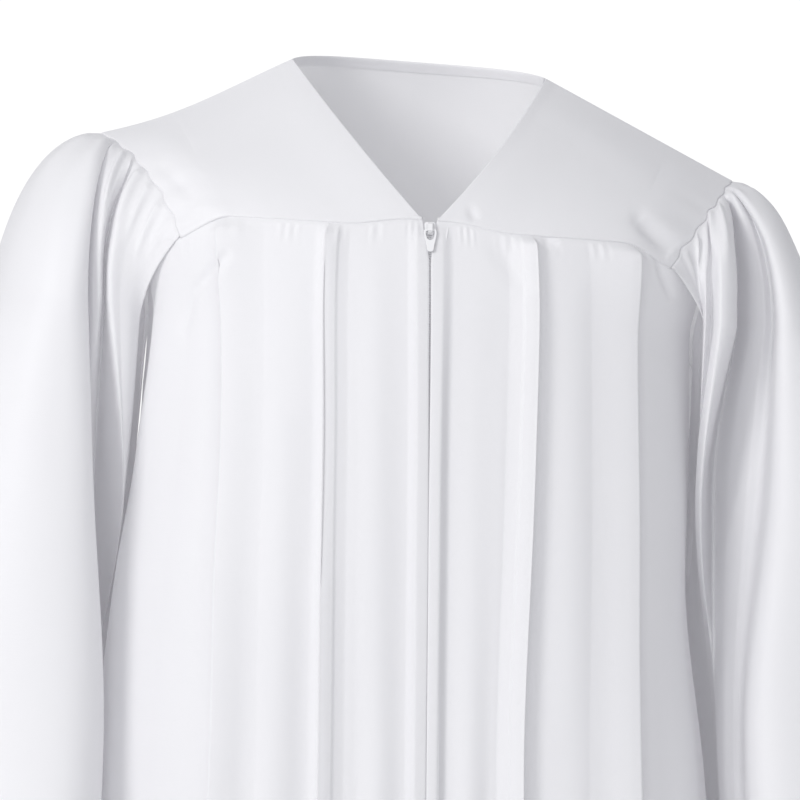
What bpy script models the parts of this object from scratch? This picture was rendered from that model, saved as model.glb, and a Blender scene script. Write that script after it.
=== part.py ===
"""A white baptism robe, open and filled out as it is worn.

Metres, +Z up. The front faces -Y and +X is the wearer's left. The origin is midway between the
shoulders, level with the neck ends of the shoulder seams, which is where the robe is held.
Angles go round the body from the centre front or the centre back (0) to the side seam (90).
"""

import math

import bmesh
import bpy
import numpy as np

UP = np.array([0.0, 0.0, 1.0])
FORWARD = np.array([0.0, -1.0, 0.0])

# Cloth and seams
CLOTH = 0.0011
SEAM_GAP = 0.0003
SEAM_TRIM = SEAM_GAP / 2

# Neck and shoulders
NECK_HALF = 0.083
BACK_NECK = (0.062, 0.010)
BACK_NECK_MIDDLE = (0.055, 0.0475, 0.009)
BACK_NECK_FALL = 2.5
TIP = (0.206, 0.002, -0.057)
SHOULDER_HOLLOW = {-1: 0.005, 1: 0.0}
V_HALF = 0.0045
V_MIDDLE = (0.0465, -0.074, -0.0535)

# Front: the yoke seam, the corner where it meets the armhole, and the underarm
SEAM_CENTRE_Z = -0.104
SEAM_SAG = 0.005
SAG_DEGREES = (6, 26)
CORNER_DROP_DEGREES = (51, 64.5)
FRONT_CORNER_DEGREES = 61.5
FRONT_CORNER_Z = -0.1235
UNDERARM_Z = -0.257
ARMHOLE_CURVE = 2.45
FRONT_ARMHOLE_MIDDLE = {-1: (0.1765, -0.052, -0.0835), 1: (0.1820, -0.051, -0.0865)}

# Back
BACK_SEAM_Z = -0.150
BACK_CORNER_DEGREES = 63.0
BACK_ARMHOLE_MIDDLE = (0.188, 0.048, -0.094)

# Length
HEM_Z = -1.300
ZIP_END_Z = -1.060

# The pose: the wearer's right shoulder, at -X, is the higher one
SHOULDER_TILT = 0.062
TILT_FULL_Z = -0.05
TILT_END_Z = -0.30


def table(columns, *rows):
    """A table as a list of dictionaries, a row for each section or fold."""
    return [dict(zip(columns.split(), row)) for row in rows]


# Level sections of the body, from the yoke seam down to the hem
BODY = table(
    "z      right  left   front  back   square",
    (-0.070, 0.202, 0.202, 0.100, 0.094, 2.6),
    (-0.107, 0.198, 0.198, 0.112, 0.104, 2.6),
    (-0.172, 0.176, 0.176, 0.121, 0.116, 2.6),
    (-0.257, 0.181, 0.176, 0.124, 0.122, 2.8),
    (-0.335, 0.190, 0.172, 0.126, 0.128, 3.2),
    (-0.450, 0.199, 0.181, 0.128, 0.135, 3.5),
    (-0.650, 0.210, 0.197, 0.144, 0.155, 3.3),
    (-1.000, 0.258, 0.254, 0.180, 0.194, 2.8),
    (-1.300, 0.305, 0.300, 0.214, 0.228, 2.5),
)

# Flutes: the angle of each crest at four heights, how far it rises there, and how wide its two flanks are
FOLD_LEVELS = (-0.120, -0.250, -0.450, -1.300)
FOLD_COLUMNS = "seam  chest  waist  hem   rise_seam rise_chest rise_waist rise_hem inner outer"
FRONT_RIGHT = table(
    FOLD_COLUMNS,
    (4.0, 3.6, 3.5, 2.6, 0.0020, 0.0035, 0.0040, 0.0060, 2.6, 2.8),
    (14.5, 13.5, 13.0, 12.0, 0.0000, 0.0010, 0.0030, 0.0200, 7.0, 7.0),
    (29.7, 28.0, 27.3, 24.5, 0.0045, 0.0050, 0.0060, 0.0240, 6.0, 3.4),
    (41.0, 39.0, 37.5, 36.0, 0.0000, 0.0010, 0.0040, 0.0210, 8.0, 8.0),
    (53.2, 50.0, 47.8, 47.5, 0.0060, 0.0060, 0.0080, 0.0270, 9.0, 4.6),
    (71.0, 72.0, 72.0, 68.0, 0.0020, 0.0085, 0.0125, 0.0240, 9.0, 4.5),
    (82.0, 82.0, 81.0, 79.0, 0.0000, 0.0000, 0.0030, 0.0200, 6.0, 6.0),
)
FRONT_LEFT = table(
    FOLD_COLUMNS,
    (4.0, 3.6, 3.0, 2.6, 0.0020, 0.0035, 0.0045, 0.0060, 2.4, 3.4),
    (14.5, 13.0, 12.0, 11.5, 0.0000, 0.0010, 0.0030, 0.0190, 7.0, 7.0),
    (30.3, 28.0, 24.7, 23.5, 0.0060, 0.0070, 0.0090, 0.0260, 7.0, 3.0),
    (41.0, 39.5, 37.0, 35.0, 0.0000, 0.0010, 0.0030, 0.0210, 8.0, 8.0),
    (53.5, 51.5, 48.6, 47.0, 0.0070, 0.0080, 0.0100, 0.0280, 10.0, 4.4),
    (67.0, 66.5, 65.0, 61.0, 0.0000, 0.0000, 0.0040, 0.0240, 8.0, 8.0),
    (79.0, 79.0, 78.0, 76.0, 0.0000, 0.0000, 0.0050, 0.0210, 8.0, 8.0),
)
BACK_RIGHT = table(
    FOLD_COLUMNS,
    (0.0, 0.0, 0.0, 0.0, 0.0050, 0.0060, 0.0100, 0.0250, 6.0, 6.0),
    (13.0, 13.5, 14.0, 13.0, 0.0045, 0.0055, 0.0080, 0.0240, 6.0, 5.0),
    (27.0, 26.5, 26.0, 26.0, 0.0050, 0.0065, 0.0095, 0.0260, 7.0, 5.0),
    (40.0, 40.5, 40.0, 39.0, 0.0045, 0.0060, 0.0080, 0.0240, 6.5, 5.0),
    (53.0, 52.0, 51.5, 52.0, 0.0050, 0.0060, 0.0085, 0.0250, 6.5, 5.0),
    (67.0, 66.5, 66.0, 65.0, 0.0000, 0.0000, 0.0050, 0.0230, 7.0, 7.0),
    (79.5, 79.0, 79.0, 78.5, 0.0000, 0.0000, 0.0040, 0.0200, 6.0, 6.0),
)
BACK_LEFT = table(
    FOLD_COLUMNS,
    (0.0, 0.0, 0.0, 0.0, 0.0050, 0.0060, 0.0100, 0.0250, 6.0, 6.0),
    (13.5, 13.0, 13.0, 13.5, 0.0050, 0.0060, 0.0085, 0.0250, 6.0, 5.0),
    (26.5, 27.0, 27.0, 27.0, 0.0045, 0.0055, 0.0085, 0.0240, 7.0, 5.0),
    (39.5, 39.0, 39.5, 40.0, 0.0050, 0.0065, 0.0090, 0.0260, 6.5, 5.0),
    (53.0, 53.5, 53.0, 52.0, 0.0045, 0.0060, 0.0080, 0.0240, 6.5, 5.0),
    (67.0, 66.0, 66.5, 65.5, 0.0000, 0.0000, 0.0050, 0.0230, 7.0, 7.0),
    (79.5, 79.5, 79.0, 78.5, 0.0000, 0.0000, 0.0040, 0.0200, 6.0, 6.0),
)
FRONT_SPREAD = (-1.0, -0.55, -0.22, 0.0, 0.4, 1.0)
BACK_SPREAD = (-1.0, -0.5, 0.0, 0.5, 1.0)
FRONT_EDGE_DEGREES = 2.30
FRONT_FOLDS = {-1: FRONT_RIGHT, 1: FRONT_LEFT}
BACK_FOLDS = {-1: BACK_RIGHT, 1: BACK_LEFT}
PANEL_ROWS = (0, 0.006, 0.016, 0.034, 0.065, 0.11, 0.165, 0.235, 0.32, 0.43, 0.55, 0.67, 0.79, 0.90, 1.0)
FOLD_START = 0.016

# Yokes
YOKE_ROWS = 11
BACK_YOKE_ROWS = 9

# Sleeves: lines that run down each sleeve, named by where they start round the armhole: 0 at the tip,
# 77 at the yoke corner, 180 under the arm and 270 at the back. Each swings out from the seam over its
# drop, then hangs through x and y at four levels.
SLEEVE_LEVELS = (-0.160, -0.270, -0.420, -0.630)
CUFF_Z = -0.630
SLEEVE_COLUMNS = "head drop  x1 y1  x2 y2  x3 y3  x4 y4"
SLEEVE_FRONT_RIGHT = table(
    SLEEVE_COLUMNS,
    (0, 0.160, 0.2830, 0.004, 0.3100, 0.000, 0.3280, -0.006, 0.352, -0.020),
    (4, 0.150, 0.2720, -0.050, 0.2980, -0.066, 0.3140, -0.078, 0.336, -0.098),
    (7, 0.130, 0.2460, -0.084, 0.2620, -0.104, 0.2740, -0.116, 0.296, -0.148),
    (9, 0.110, 0.2240, -0.090, 0.2250, -0.108, 0.2220, -0.122, 0.240, -0.160),
    (11.5, 0.090, 0.2120, -0.080, 0.2070, -0.094, 0.1990, -0.100, 0.212, -0.132),
    (14.5, 0.080, 0.2150, -0.062, 0.2140, -0.062, 0.2080, -0.066, 0.214, -0.100),
    (19, 0.070, 0.2085, -0.074, 0.2110, -0.054, 0.2130, -0.044, 0.219, -0.080),
    (27, 0.065, 0.2035, -0.076, 0.2090, -0.045, 0.2125, -0.034, 0.218, -0.070),
    (33, 0.060, 0.2020, -0.062, 0.2070, -0.034, 0.2115, -0.024, 0.217, -0.056),
    (39, 0.060, 0.1990, -0.083, 0.1905, -0.068, 0.2090, -0.014, 0.218, -0.044),
    (50, 0.058, 0.1915, -0.086, 0.1885, -0.073, 0.2095, -0.008, 0.221, -0.034),
    (63, 0.052, 0.1840, -0.081, 0.1875, -0.071, 0.2085, 0.000, 0.220, -0.018),
    (77, 0.045, 0.1805, -0.070, 0.1878, -0.061, 0.2085, 0.006, 0.220, -0.006),
    (90, 0.045, 0.1810, -0.058, 0.1880, -0.050, 0.2085, 0.012, 0.220, 0.000),
    (105, 0.050, 0.1820, -0.044, 0.1895, -0.035, 0.2085, 0.020, 0.220, 0.008),
    (125, 0.060, 0.1840, -0.032, 0.1920, -0.021, 0.2090, 0.030, 0.220, 0.024),
    (150, 0.080, 0.1860, -0.016, 0.1935, -0.008, 0.2075, 0.045, 0.220, 0.046),
    (180, 0.100, 0.1870, 0.004, 0.1935, 0.010, 0.2045, 0.062, 0.220, 0.070),
)
SLEEVE_FRONT_LEFT = table(
    SLEEVE_COLUMNS,
    (0, 0.160, 0.2675, 0.004, 0.2960, 0.000, 0.3160, -0.006, 0.345, -0.020),
    (3, 0.150, 0.2620, -0.040, 0.2880, -0.058, 0.3060, -0.072, 0.332, -0.096),
    (5, 0.130, 0.2490, -0.074, 0.2640, -0.098, 0.2740, -0.112, 0.294, -0.146),
    (6.5, 0.110, 0.2340, -0.085, 0.2340, -0.106, 0.2240, -0.122, 0.242, -0.160),
    (8.5, 0.100, 0.2240, -0.080, 0.2185, -0.095, 0.2040, -0.106, 0.216, -0.136),
    (10.5, 0.090, 0.2260, -0.060, 0.2185, -0.066, 0.2075, -0.072, 0.213, -0.108),
    (13, 0.080, 0.2190, -0.056, 0.2085, -0.056, 0.2000, -0.064, 0.209, -0.092),
    (15.5, 0.070, 0.2120, -0.052, 0.2000, -0.048, 0.1950, -0.054, 0.208, -0.072),
    (18.5, 0.060, 0.2055, -0.046, 0.1900, -0.038, 0.1935, -0.040, 0.210, -0.052),
    (22, 0.060, 0.1985, -0.072, 0.1820, -0.052, 0.1955, -0.022, 0.214, -0.036),
    (29, 0.055, 0.1868, -0.085, 0.1785, -0.065, 0.1965, -0.012, 0.213, -0.026),
    (37, 0.050, 0.1825, -0.073, 0.1752, -0.060, 0.1968, -0.006, 0.213, -0.020),
    (46, 0.050, 0.1775, -0.080, 0.1760, -0.056, 0.1972, -0.001, 0.213, -0.014),
    (61, 0.050, 0.1775, -0.0715, 0.1775, -0.051, 0.1975, 0.004, 0.212, -0.008),
    (77, 0.045, 0.1815, -0.0700, 0.1790, -0.046, 0.1975, 0.009, 0.212, 0.000),
    (94, 0.045, 0.1815, -0.0530, 0.1805, -0.037, 0.1970, 0.015, 0.212, 0.010),
    (122, 0.060, 0.1805, -0.033, 0.1815, -0.021, 0.1950, 0.030, 0.212, 0.032),
    (150, 0.080, 0.1810, -0.016, 0.1815, -0.008, 0.1915, 0.045, 0.212, 0.052),
    (180, 0.100, 0.1810, 0.004, 0.1810, 0.010, 0.1860, 0.062, 0.212, 0.074),
)
SLEEVE_BACK = table(
    SLEEVE_COLUMNS,
    (208, 0.070, 0.1850, 0.034, 0.1855, 0.056, 0.1900, 0.090, 0.216, 0.100),
    (228, 0.060, 0.1810, 0.066, 0.1840, 0.084, 0.1970, 0.110, 0.220, 0.122),
    (245, 0.060, 0.1870, 0.080, 0.1960, 0.098, 0.2110, 0.109, 0.232, 0.117),
    (262, 0.060, 0.1980, 0.089, 0.2130, 0.108, 0.2270, 0.116, 0.245, 0.130),
    (278, 0.070, 0.2090, 0.086, 0.2270, 0.100, 0.2410, 0.108, 0.260, 0.113),
    (292, 0.080, 0.2190, 0.089, 0.2420, 0.104, 0.2570, 0.112, 0.279, 0.120),
    (306, 0.090, 0.2310, 0.079, 0.2550, 0.090, 0.2720, 0.095, 0.296, 0.098),
    (322, 0.110, 0.2440, 0.074, 0.2700, 0.082, 0.2890, 0.086, 0.316, 0.088),
    (341, 0.130, 0.2640, 0.044, 0.2900, 0.048, 0.3100, 0.047, 0.340, 0.040),
)
SLEEVES = {-1: SLEEVE_FRONT_RIGHT + SLEEVE_BACK, 1: SLEEVE_FRONT_LEFT + SLEEVE_BACK}
SLEEVE_ROWS = (0, 0.006, 0.018, 0.042, 0.08, 0.13, 0.19, 0.26, 0.34, 0.45, 0.56, 0.67, 0.78, 0.89, 1.0)
LEVEL_SHARE = 0.45
LEVEL_Z = -0.345
UNDERARM_EASE = 0.0016
LOW_DEGREES = (60, 110)
UNDERARM_DEGREES = (90, 165)
SIDE_DEGREES = 50
SWING_REACH = (1.0, 1.2)
CALM_ROUNDS = 1
CALM_SHARE = 0.35
SWING_POWER = (0.5, 1.0)
SPLITS = 2
NORMAL_SMOOTHING = 4

# Zip
NOTCH_DEPTH = 0.028
ZIP_GAP = 0.0003
TAPE_THICK = 0.0008
TAPE_EDGE = 0.0016
TAPE_OUTER = 0.0125
TAPE_SPREAD = (0, 0.25, 0.5, 0.75, 1)
TAPE_OPEN = (-0.1175, -0.1125)
TAPE_DROPS = (0.003, 0.006, 0.0085, 0.011, 0.0135, 0.018, 0.024, 0.032)
CHAIN_HALF = 0.0011
CHAIN_THICK = 0.0012
CHAIN_TOP_Z = -0.1138
SLIDER_Z = -0.1093
SLIDER_PROUD = 0.0013
SLIDER_HALF = (0.0034, 0.0017, 0.0040)
SLIDER_TAPER = 0.78
SLIDER_ROUND = 0.0005
ARCH_HALF_WIDTH = 0.0014
ARCH_THICK = 0.0009
ARCH_RISE = 0.0022
ARCH_HALF_LENGTH = 0.0034
BAR_BELOW_CENTRE = 0.0014
BAR_OUT = 0.0011
PULL_THICK = 0.0011

# The pull tab's outline and the edge of its hole: heights from the pivot, and half widths there
PULL_OUTER = (
    (0.0006, 0.0026), (0.0003, 0.0033), (-0.0004, 0.0038), (-0.0016, 0.0040), (-0.0034, 0.0039),
    (-0.0055, 0.0035), (-0.0080, 0.0029), (-0.0105, 0.0024), (-0.0127, 0.0020), (-0.0136, 0.0015),
    (-0.0140, 0.0008),
)
PULL_HOLE = (
    (-0.0006, 0.0018), (-0.0007, 0.0023), (-0.0011, 0.0027), (-0.0022, 0.0028), (-0.0033, 0.0027),
    (-0.0043, 0.0025), (-0.0051, 0.0022), (-0.0057, 0.0019), (-0.0061, 0.0015), (-0.0064, 0.0010),
    (-0.0066, 0.0005),
)
FRONT_SLOPE = math.radians(14.0)

WHITE_CLOTH = ((0.86, 0.86, 0.90, 1.0), 0.55, 0.0)
WHITE_TAPE = ((0.84, 0.84, 0.88, 1.0), 0.7, 0.0)
WHITE_ENAMEL = ((0.80, 0.80, 0.83, 1.0), 0.3, 0.1)


def column(rows, name):
    return np.array([row[name] for row in rows], float)


def smooth(knots, values, at):
    """A smooth curve through values at knots that never swings past them, read at one or many places."""
    order = np.argsort(knots)
    knots, values = np.asarray(knots, float)[order], np.asarray(values, float)[order]
    at = np.clip(at, knots[0], knots[-1])
    step = np.diff(knots)
    rise = np.diff(values) / step
    both = rise[1:] * rise[:-1]
    slope = np.concatenate([rise[:1], np.zeros(len(rise) - 1), rise[-1:]])
    same_way = both > 0
    slope[1:-1][same_way] = 2 * both[same_way] / (rise[1:] + rise[:-1])[same_way]
    i = np.clip(np.searchsorted(knots, at, side="right") - 1, 0, len(step) - 1)
    t = (at - knots[i]) / step[i]
    return (
        values[i] * (1 + 2 * t) * (1 - t) ** 2
        + values[i + 1] * t * t * (3 - 2 * t)
        + step[i] * (slope[i] * t * (1 - t) ** 2 - slope[i + 1] * t * t * (1 - t))
    )


def ease(low, high, at):
    """0 up to low, 1 from high, and smooth between them."""
    t = np.clip((np.asarray(at, float) - low) / (high - low), 0, 1)
    return t * t * (3 - 2 * t)


def ring_point(side, degrees, z):
    """A point of the body's section at height z. 0 degrees is the centre front and 180 the centre back."""
    turn = np.radians(degrees)
    heights = column(BODY, "z")
    half = smooth(heights, column(BODY, "right" if side < 0 else "left"), z)
    front = smooth(heights, column(BODY, "front"), z)
    back = smooth(heights, column(BODY, "back"), z)
    square = smooth(heights, column(BODY, "square"), z)
    deep = np.where(np.cos(turn) > 0, front, back)
    across, along = np.abs(np.sin(turn)) / half, np.abs(np.cos(turn)) / deep
    radius = (across**square + along**square) ** (-1 / square)
    return np.stack([side * radius * np.sin(turn), -radius * np.cos(turn), z + 0 * turn], -1)


def unit(vectors):
    return vectors / np.maximum(np.linalg.norm(vectors, axis=-1, keepdims=True), 1e-12)


def ring_normal(side, degrees, z):
    """The outward direction of the body's plain section surface."""
    turn, drop = 0.5, 0.002
    along = ring_point(side, degrees + turn, z) - ring_point(side, degrees - turn, z)
    up = ring_point(side, degrees, z + drop) - ring_point(side, degrees, z - drop)
    return unit(np.cross(along, up) * side)


def front_seam_z(degrees):
    """Height of the front yoke seam: it sags a little and drops at the armhole corner."""
    sag = SEAM_SAG * ease(*SAG_DEGREES, degrees)
    drop = SEAM_CENTRE_Z - SEAM_SAG - FRONT_CORNER_Z
    share = ease(*CORNER_DROP_DEGREES, degrees) / ease(*CORNER_DROP_DEGREES, FRONT_CORNER_DEGREES)
    return SEAM_CENTRE_Z - sag - drop * share


def armhole_z(degrees, corner_degrees, corner_z):
    """Height of the armhole's lower half, from the yoke corner down and round to the underarm."""
    t = np.clip((degrees - corner_degrees) / (90 - corner_degrees), 0, 1)
    return corner_z + (UNDERARM_Z - corner_z) * t**ARMHOLE_CURVE


def front_top(degrees):
    over = degrees > FRONT_CORNER_DEGREES
    low = armhole_z(degrees, FRONT_CORNER_DEGREES, FRONT_CORNER_Z)
    return np.where(over, low, front_seam_z(degrees))


def back_top(degrees):
    over = degrees > BACK_CORNER_DEGREES
    return np.where(over, armhole_z(degrees, BACK_CORNER_DEGREES, BACK_SEAM_Z), BACK_SEAM_Z)


def at_levels(fold, names, z):
    return smooth(FOLD_LEVELS, [fold[name] for name in names.split()], z)


def crest_degrees(fold, z):
    return at_levels(fold, "seam chest waist hem", z)


def crest_rise(fold, z):
    return at_levels(fold, "rise_seam rise_chest rise_waist rise_hem", z)


def edge_degrees(z):
    """The front edge stands back at the top, where the zip opens, and closes on the centre line below."""
    opened = math.degrees(math.atan2(V_HALF, BODY[1]["front"]))
    closed = math.degrees(math.atan2(ZIP_GAP, BODY[3]["front"]))
    return closed + (opened - closed) * ease(SEAM_CENTRE_Z - NOTCH_DEPTH, SEAM_CENTRE_Z, z)


def panel_columns(folds, first, last, corner, spread, least):
    """Seam angles of a panel's columns: each fold's flanks and crest, and the corner of its armhole."""
    found = [first, corner, last]
    for fold in folds:
        for share in spread:
            flank = fold["inner"] if share < 0 else fold["outer"]
            found.append(fold["seam"] + share * flank)
    kept = []
    for degrees in sorted(x for x in found if first <= x <= last):
        fixed = degrees in (first, corner, last)
        if kept and degrees - kept[-1] < least:
            if not fixed:
                continue
            kept.pop()
        kept.append(degrees)
    return np.array(kept)


def half_panel(side, is_front, columns, rows=PANEL_ROWS):
    """A grid of outer points and their plain outward directions, from the centre to the side seam."""
    folds = (FRONT_FOLDS if is_front else BACK_FOLDS)[side]
    top = (front_top if is_front else back_top)(columns)
    z = top + (HEM_Z - top) * np.array(rows)[:, None]
    seams = [0.0] + [fold["seam"] for fold in folds if fold["seam"] > 0] + [90.0]
    turn = np.empty_like(z)
    for i, level in enumerate(z):
        for j, height in enumerate(level):
            places = [0.0] + [float(crest_degrees(f, height)) for f in folds if f["seam"] > 0] + [90.0]
            turn[i, j] = smooth(seams, places, columns[j])
            if is_front and columns[j] < folds[0]["seam"]:
                share = (columns[j] - columns[0]) / (folds[0]["seam"] - columns[0])
                edge = edge_degrees(height)
                turn[i, j] = edge + (max(places[1], edge + 1.6) - edge) * share
    lift = np.zeros_like(z)
    for fold in folds:
        away = columns - fold["seam"]
        flank = np.where(away < 0, fold["inner"], fold["outer"])
        bump = np.cos(np.clip(away / flank, -1, 1) * math.pi / 2) ** 2
        lift += crest_rise(fold, z) * bump
    lift *= ease(0, FOLD_START, top - z)
    degrees = turn if is_front else 180 - turn
    base = ring_point(side, degrees, z)
    normal = ring_normal(side, degrees, z)
    return base + normal * lift[..., None], normal


def worn(points):
    """The pose: the shoulders tilt, and the tilt dies away down the body."""
    moved = np.array(points, float)
    share = ease(TILT_END_Z, TILT_FULL_Z, moved[..., 2])
    moved[..., 2] -= SHOULDER_TILT * moved[..., 0] * share
    return moved


def bend(start, middle, end, share):
    """A curve from start to end that passes through middle half way."""
    start, middle, end = (np.array(p, float) for p in (start, middle, end))
    pull = 2 * middle - (start + end) / 2
    t = np.asarray(share, float)[..., None]
    return start * (1 - t) ** 2 + 2 * pull * t * (1 - t) + end * t * t


def patch(top, bottom, left, right):
    """A smooth four-sided surface between its edges. Rows run from top to bottom."""
    widths = np.linalg.norm(np.diff(bottom, axis=0), axis=1)
    across = np.concatenate([[0], np.cumsum(widths)]) / widths.sum()
    down = np.linspace(0, 1, len(left))[:, None, None]
    p = across[None, :, None]
    corners = (
        (1 - down) * ((1 - p) * top[0] + p * top[-1]) + down * ((1 - p) * bottom[0] + p * bottom[-1])
    )
    return (1 - down) * top + down * bottom + (1 - p) * left[:, None] + p * right[:, None] - corners


def mirrored(point, side):
    return np.array([point[0] * side, point[1], point[2]])


def shoulder(side, share):
    """The shoulder seam, from the neck to the tip."""
    start, end = np.array([NECK_HALF * side, 0, 0]), mirrored(TIP, side)
    line = start + (end - start) * np.asarray(share, float)[..., None]
    line[..., 2] -= SHOULDER_HOLLOW[side] * np.sin(np.pi * np.clip(share, 0, 1) ** 1.3)
    return line


def front_yoke(side, columns):
    """Grid from the neck edge to the armhole, shoulder seam to yoke seam, with its outward directions."""
    seam = columns[columns <= FRONT_CORNER_DEGREES]
    z = front_seam_z(seam)
    bottom = ring_point(side, seam, z)
    widths = np.linalg.norm(np.diff(bottom, axis=0), axis=1)
    share = np.concatenate([[0], np.cumsum(widths)]) / widths.sum()
    top = shoulder(side, share)
    down = np.linspace(0, 1, YOKE_ROWS)
    neck = bend(top[0], mirrored(V_MIDDLE, side), bottom[0], down)
    arm = bend(top[-1], mirrored(FRONT_ARMHOLE_MIDDLE[side], side), bottom[-1], down)
    grid = patch(top, bottom, neck, arm)
    normal = grid_normals(grid, outward=UP + FORWARD)
    normal[0] = UP
    normal[-1] = ring_normal(side, seam, z)
    return grid, normal


def back_yoke(columns):
    """Grid across the back from the right armhole to the left one, with its outward directions."""
    halves = {}
    for side in (-1, 1):
        seam = columns[side][columns[side] <= BACK_CORNER_DEGREES]
        z = np.full(len(seam), BACK_SEAM_Z)
        bottom = ring_point(side, 180 - seam, z)
        normal = ring_normal(side, 180 - seam, z)
        share = np.abs(bottom[:, 0]) / abs(bottom[-1, 0])
        neck_share = NECK_HALF / TIP[0]
        nearest = np.argmin(np.abs(share - neck_share))
        split = share[nearest]
        out = np.clip(share / split, 0, 1)
        middle = mirrored(BACK_NECK_MIDDLE, side)
        neck_line = bend((0, *BACK_NECK), middle, (NECK_HALF * side, 0, 0), out)
        neck_line[:, 2] = BACK_NECK[1] * (1 - out**BACK_NECK_FALL)
        top = np.where(
            (share <= split)[:, None], neck_line, shoulder(side, (share - split) / (1 - split))
        )
        halves[side] = (top, bottom, normal)
    top = np.concatenate([halves[-1][0][::-1], halves[1][0][1:]])
    bottom = np.concatenate([halves[-1][1][::-1], halves[1][1][1:]])
    normal_low = np.concatenate([halves[-1][2][::-1], halves[1][2][1:]])
    down = np.linspace(0, 1, BACK_YOKE_ROWS)
    right = bend(top[0], mirrored(BACK_ARMHOLE_MIDDLE, -1), bottom[0], down)
    left = bend(top[-1], mirrored(BACK_ARMHOLE_MIDDLE, 1), bottom[-1], down)
    grid = patch(top, bottom, right, left)
    normal = grid_normals(grid, outward=UP - FORWARD)
    normal[0, np.abs(top[:, 0]) > NECK_HALF - 0.001] = UP
    normal[-1] = normal_low
    return grid, normal


def grid_normals(grid, outward, around=False):
    """Directions square to a grid of points, on the side that outward points to."""
    down = np.gradient(grid, axis=0)
    if around:
        across = np.roll(grid, -1, axis=1) - np.roll(grid, 1, axis=1)
    else:
        across = np.gradient(grid, axis=1)
    normal = unit(np.cross(down, across))
    if np.sum(normal * outward) < 0:
        normal = -normal
    return normal


def trimmed(grid, top=False, bottom=False, first=False, last=False):
    """The grid with some edges drawn in by half a seam's gap."""
    grid = grid.copy()
    if top:
        grid[0] += unit(grid[1] - grid[0]) * SEAM_TRIM
    if bottom:
        grid[-1] += unit(grid[-2] - grid[-1]) * SEAM_TRIM
    if first:
        grid[:, 0] += unit(grid[:, 1] - grid[:, 0]) * SEAM_TRIM
    if last:
        grid[:, -1] += unit(grid[:, -2] - grid[:, -1]) * SEAM_TRIM
    return grid


def wall_object(name, outer, inner, material, around=False):
    """A closed cloth wall between two grids of points. Around joins its last column to its first."""
    rows, columns = outer.shape[:2]
    mesh = bpy.data.meshes.new(name)
    form = bmesh.new()
    outside = [[form.verts.new(p) for p in line] for line in outer]
    inside = [[form.verts.new(p) for p in line] for line in inner]
    spans = columns if around else columns - 1
    for i in range(rows - 1):
        for j in range(spans):
            k = (j + 1) % columns
            form.faces.new((outside[i][j], outside[i + 1][j], outside[i + 1][k], outside[i][k]))
            form.faces.new((inside[i][j], inside[i][k], inside[i + 1][k], inside[i + 1][j]))
    for i in (0, rows - 1):
        for j in range(spans):
            k = (j + 1) % columns
            form.faces.new((outside[i][j], outside[i][k], inside[i][k], inside[i][j]))
    if not around:
        for j in (0, columns - 1):
            for i in range(rows - 1):
                form.faces.new((outside[i][j], inside[i][j], inside[i + 1][j], outside[i + 1][j]))
    bmesh.ops.recalc_face_normals(form, faces=form.faces)
    form.to_mesh(mesh)
    form.free()
    mesh.shade_smooth()
    mesh.set_sharp_from_angle(angle=math.radians(50))
    return placed(name, mesh, material)


def placed(name, mesh, material):
    piece = bpy.data.objects.new(name, mesh)
    bpy.context.scene.collection.objects.link(piece)
    mesh.materials.append(material)
    return piece


def finish(name, colour, roughness, metallic):
    material = bpy.data.materials.new(name)
    material.use_nodes = True
    shader = material.node_tree.nodes["Principled BSDF"]
    shader.inputs["Base Color"].default_value = colour
    shader.inputs["Roughness"].default_value = roughness
    shader.inputs["Metallic"].default_value = metallic
    return material


def armhole(side, yoke_front, panel_front, panel_back, yoke_back):
    """The armhole as a closed loop of points and outward directions: tip, front, underarm, back."""
    last = -1 if side > 0 else 0
    pieces = (
        (yoke_front[0][:, -1], yoke_front[1][:, -1]),
        (panel_front[0][1:], panel_front[1][1:]),
        (panel_back[0][::-1][1:], panel_back[1][::-1][1:]),
        (yoke_back[0][::-1, last][1:-1], yoke_back[1][::-1, last][1:-1]),
    )
    points = np.concatenate([p[0] for p in pieces])
    normals = np.concatenate([p[1] for p in pieces])
    underarm = len(pieces[0][0]) + len(pieces[1][0]) - 1
    return points, normals, underarm


def loop_degrees(points, underarm):
    """Angles of the armhole's points round the sleeve: 0 at the tip and 180 at the underarm."""
    steps = np.linalg.norm(np.roll(points, -1, axis=0) - points, axis=1)
    run = np.concatenate([[0], np.cumsum(steps)])
    front = run[: underarm + 1] / run[underarm] * 180
    back = 180 + (run[underarm + 1 : -1] - run[underarm]) / (run[-1] - run[underarm]) * 180
    return np.concatenate([front, back])


def between_lines(values, at):
    """Values given at whole numbers round a closed loop, read smoothly at any places between them."""
    count = len(values)
    i = np.floor(at).astype(int)
    t = (at - i).reshape((-1,) + (1,) * (values.ndim - 1))
    before, here, after, later = (values[(i + k) % count] for k in (-1, 0, 1, 2))
    slope, next_slope = (after - before) / 2, (later - here) / 2
    return (
        here * (1 + 2 * t) * (1 - t) ** 2 + after * t * t * (3 - 2 * t)
        + slope * t * (1 - t) ** 2 - next_slope * t * t * (1 - t)
    )


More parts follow.
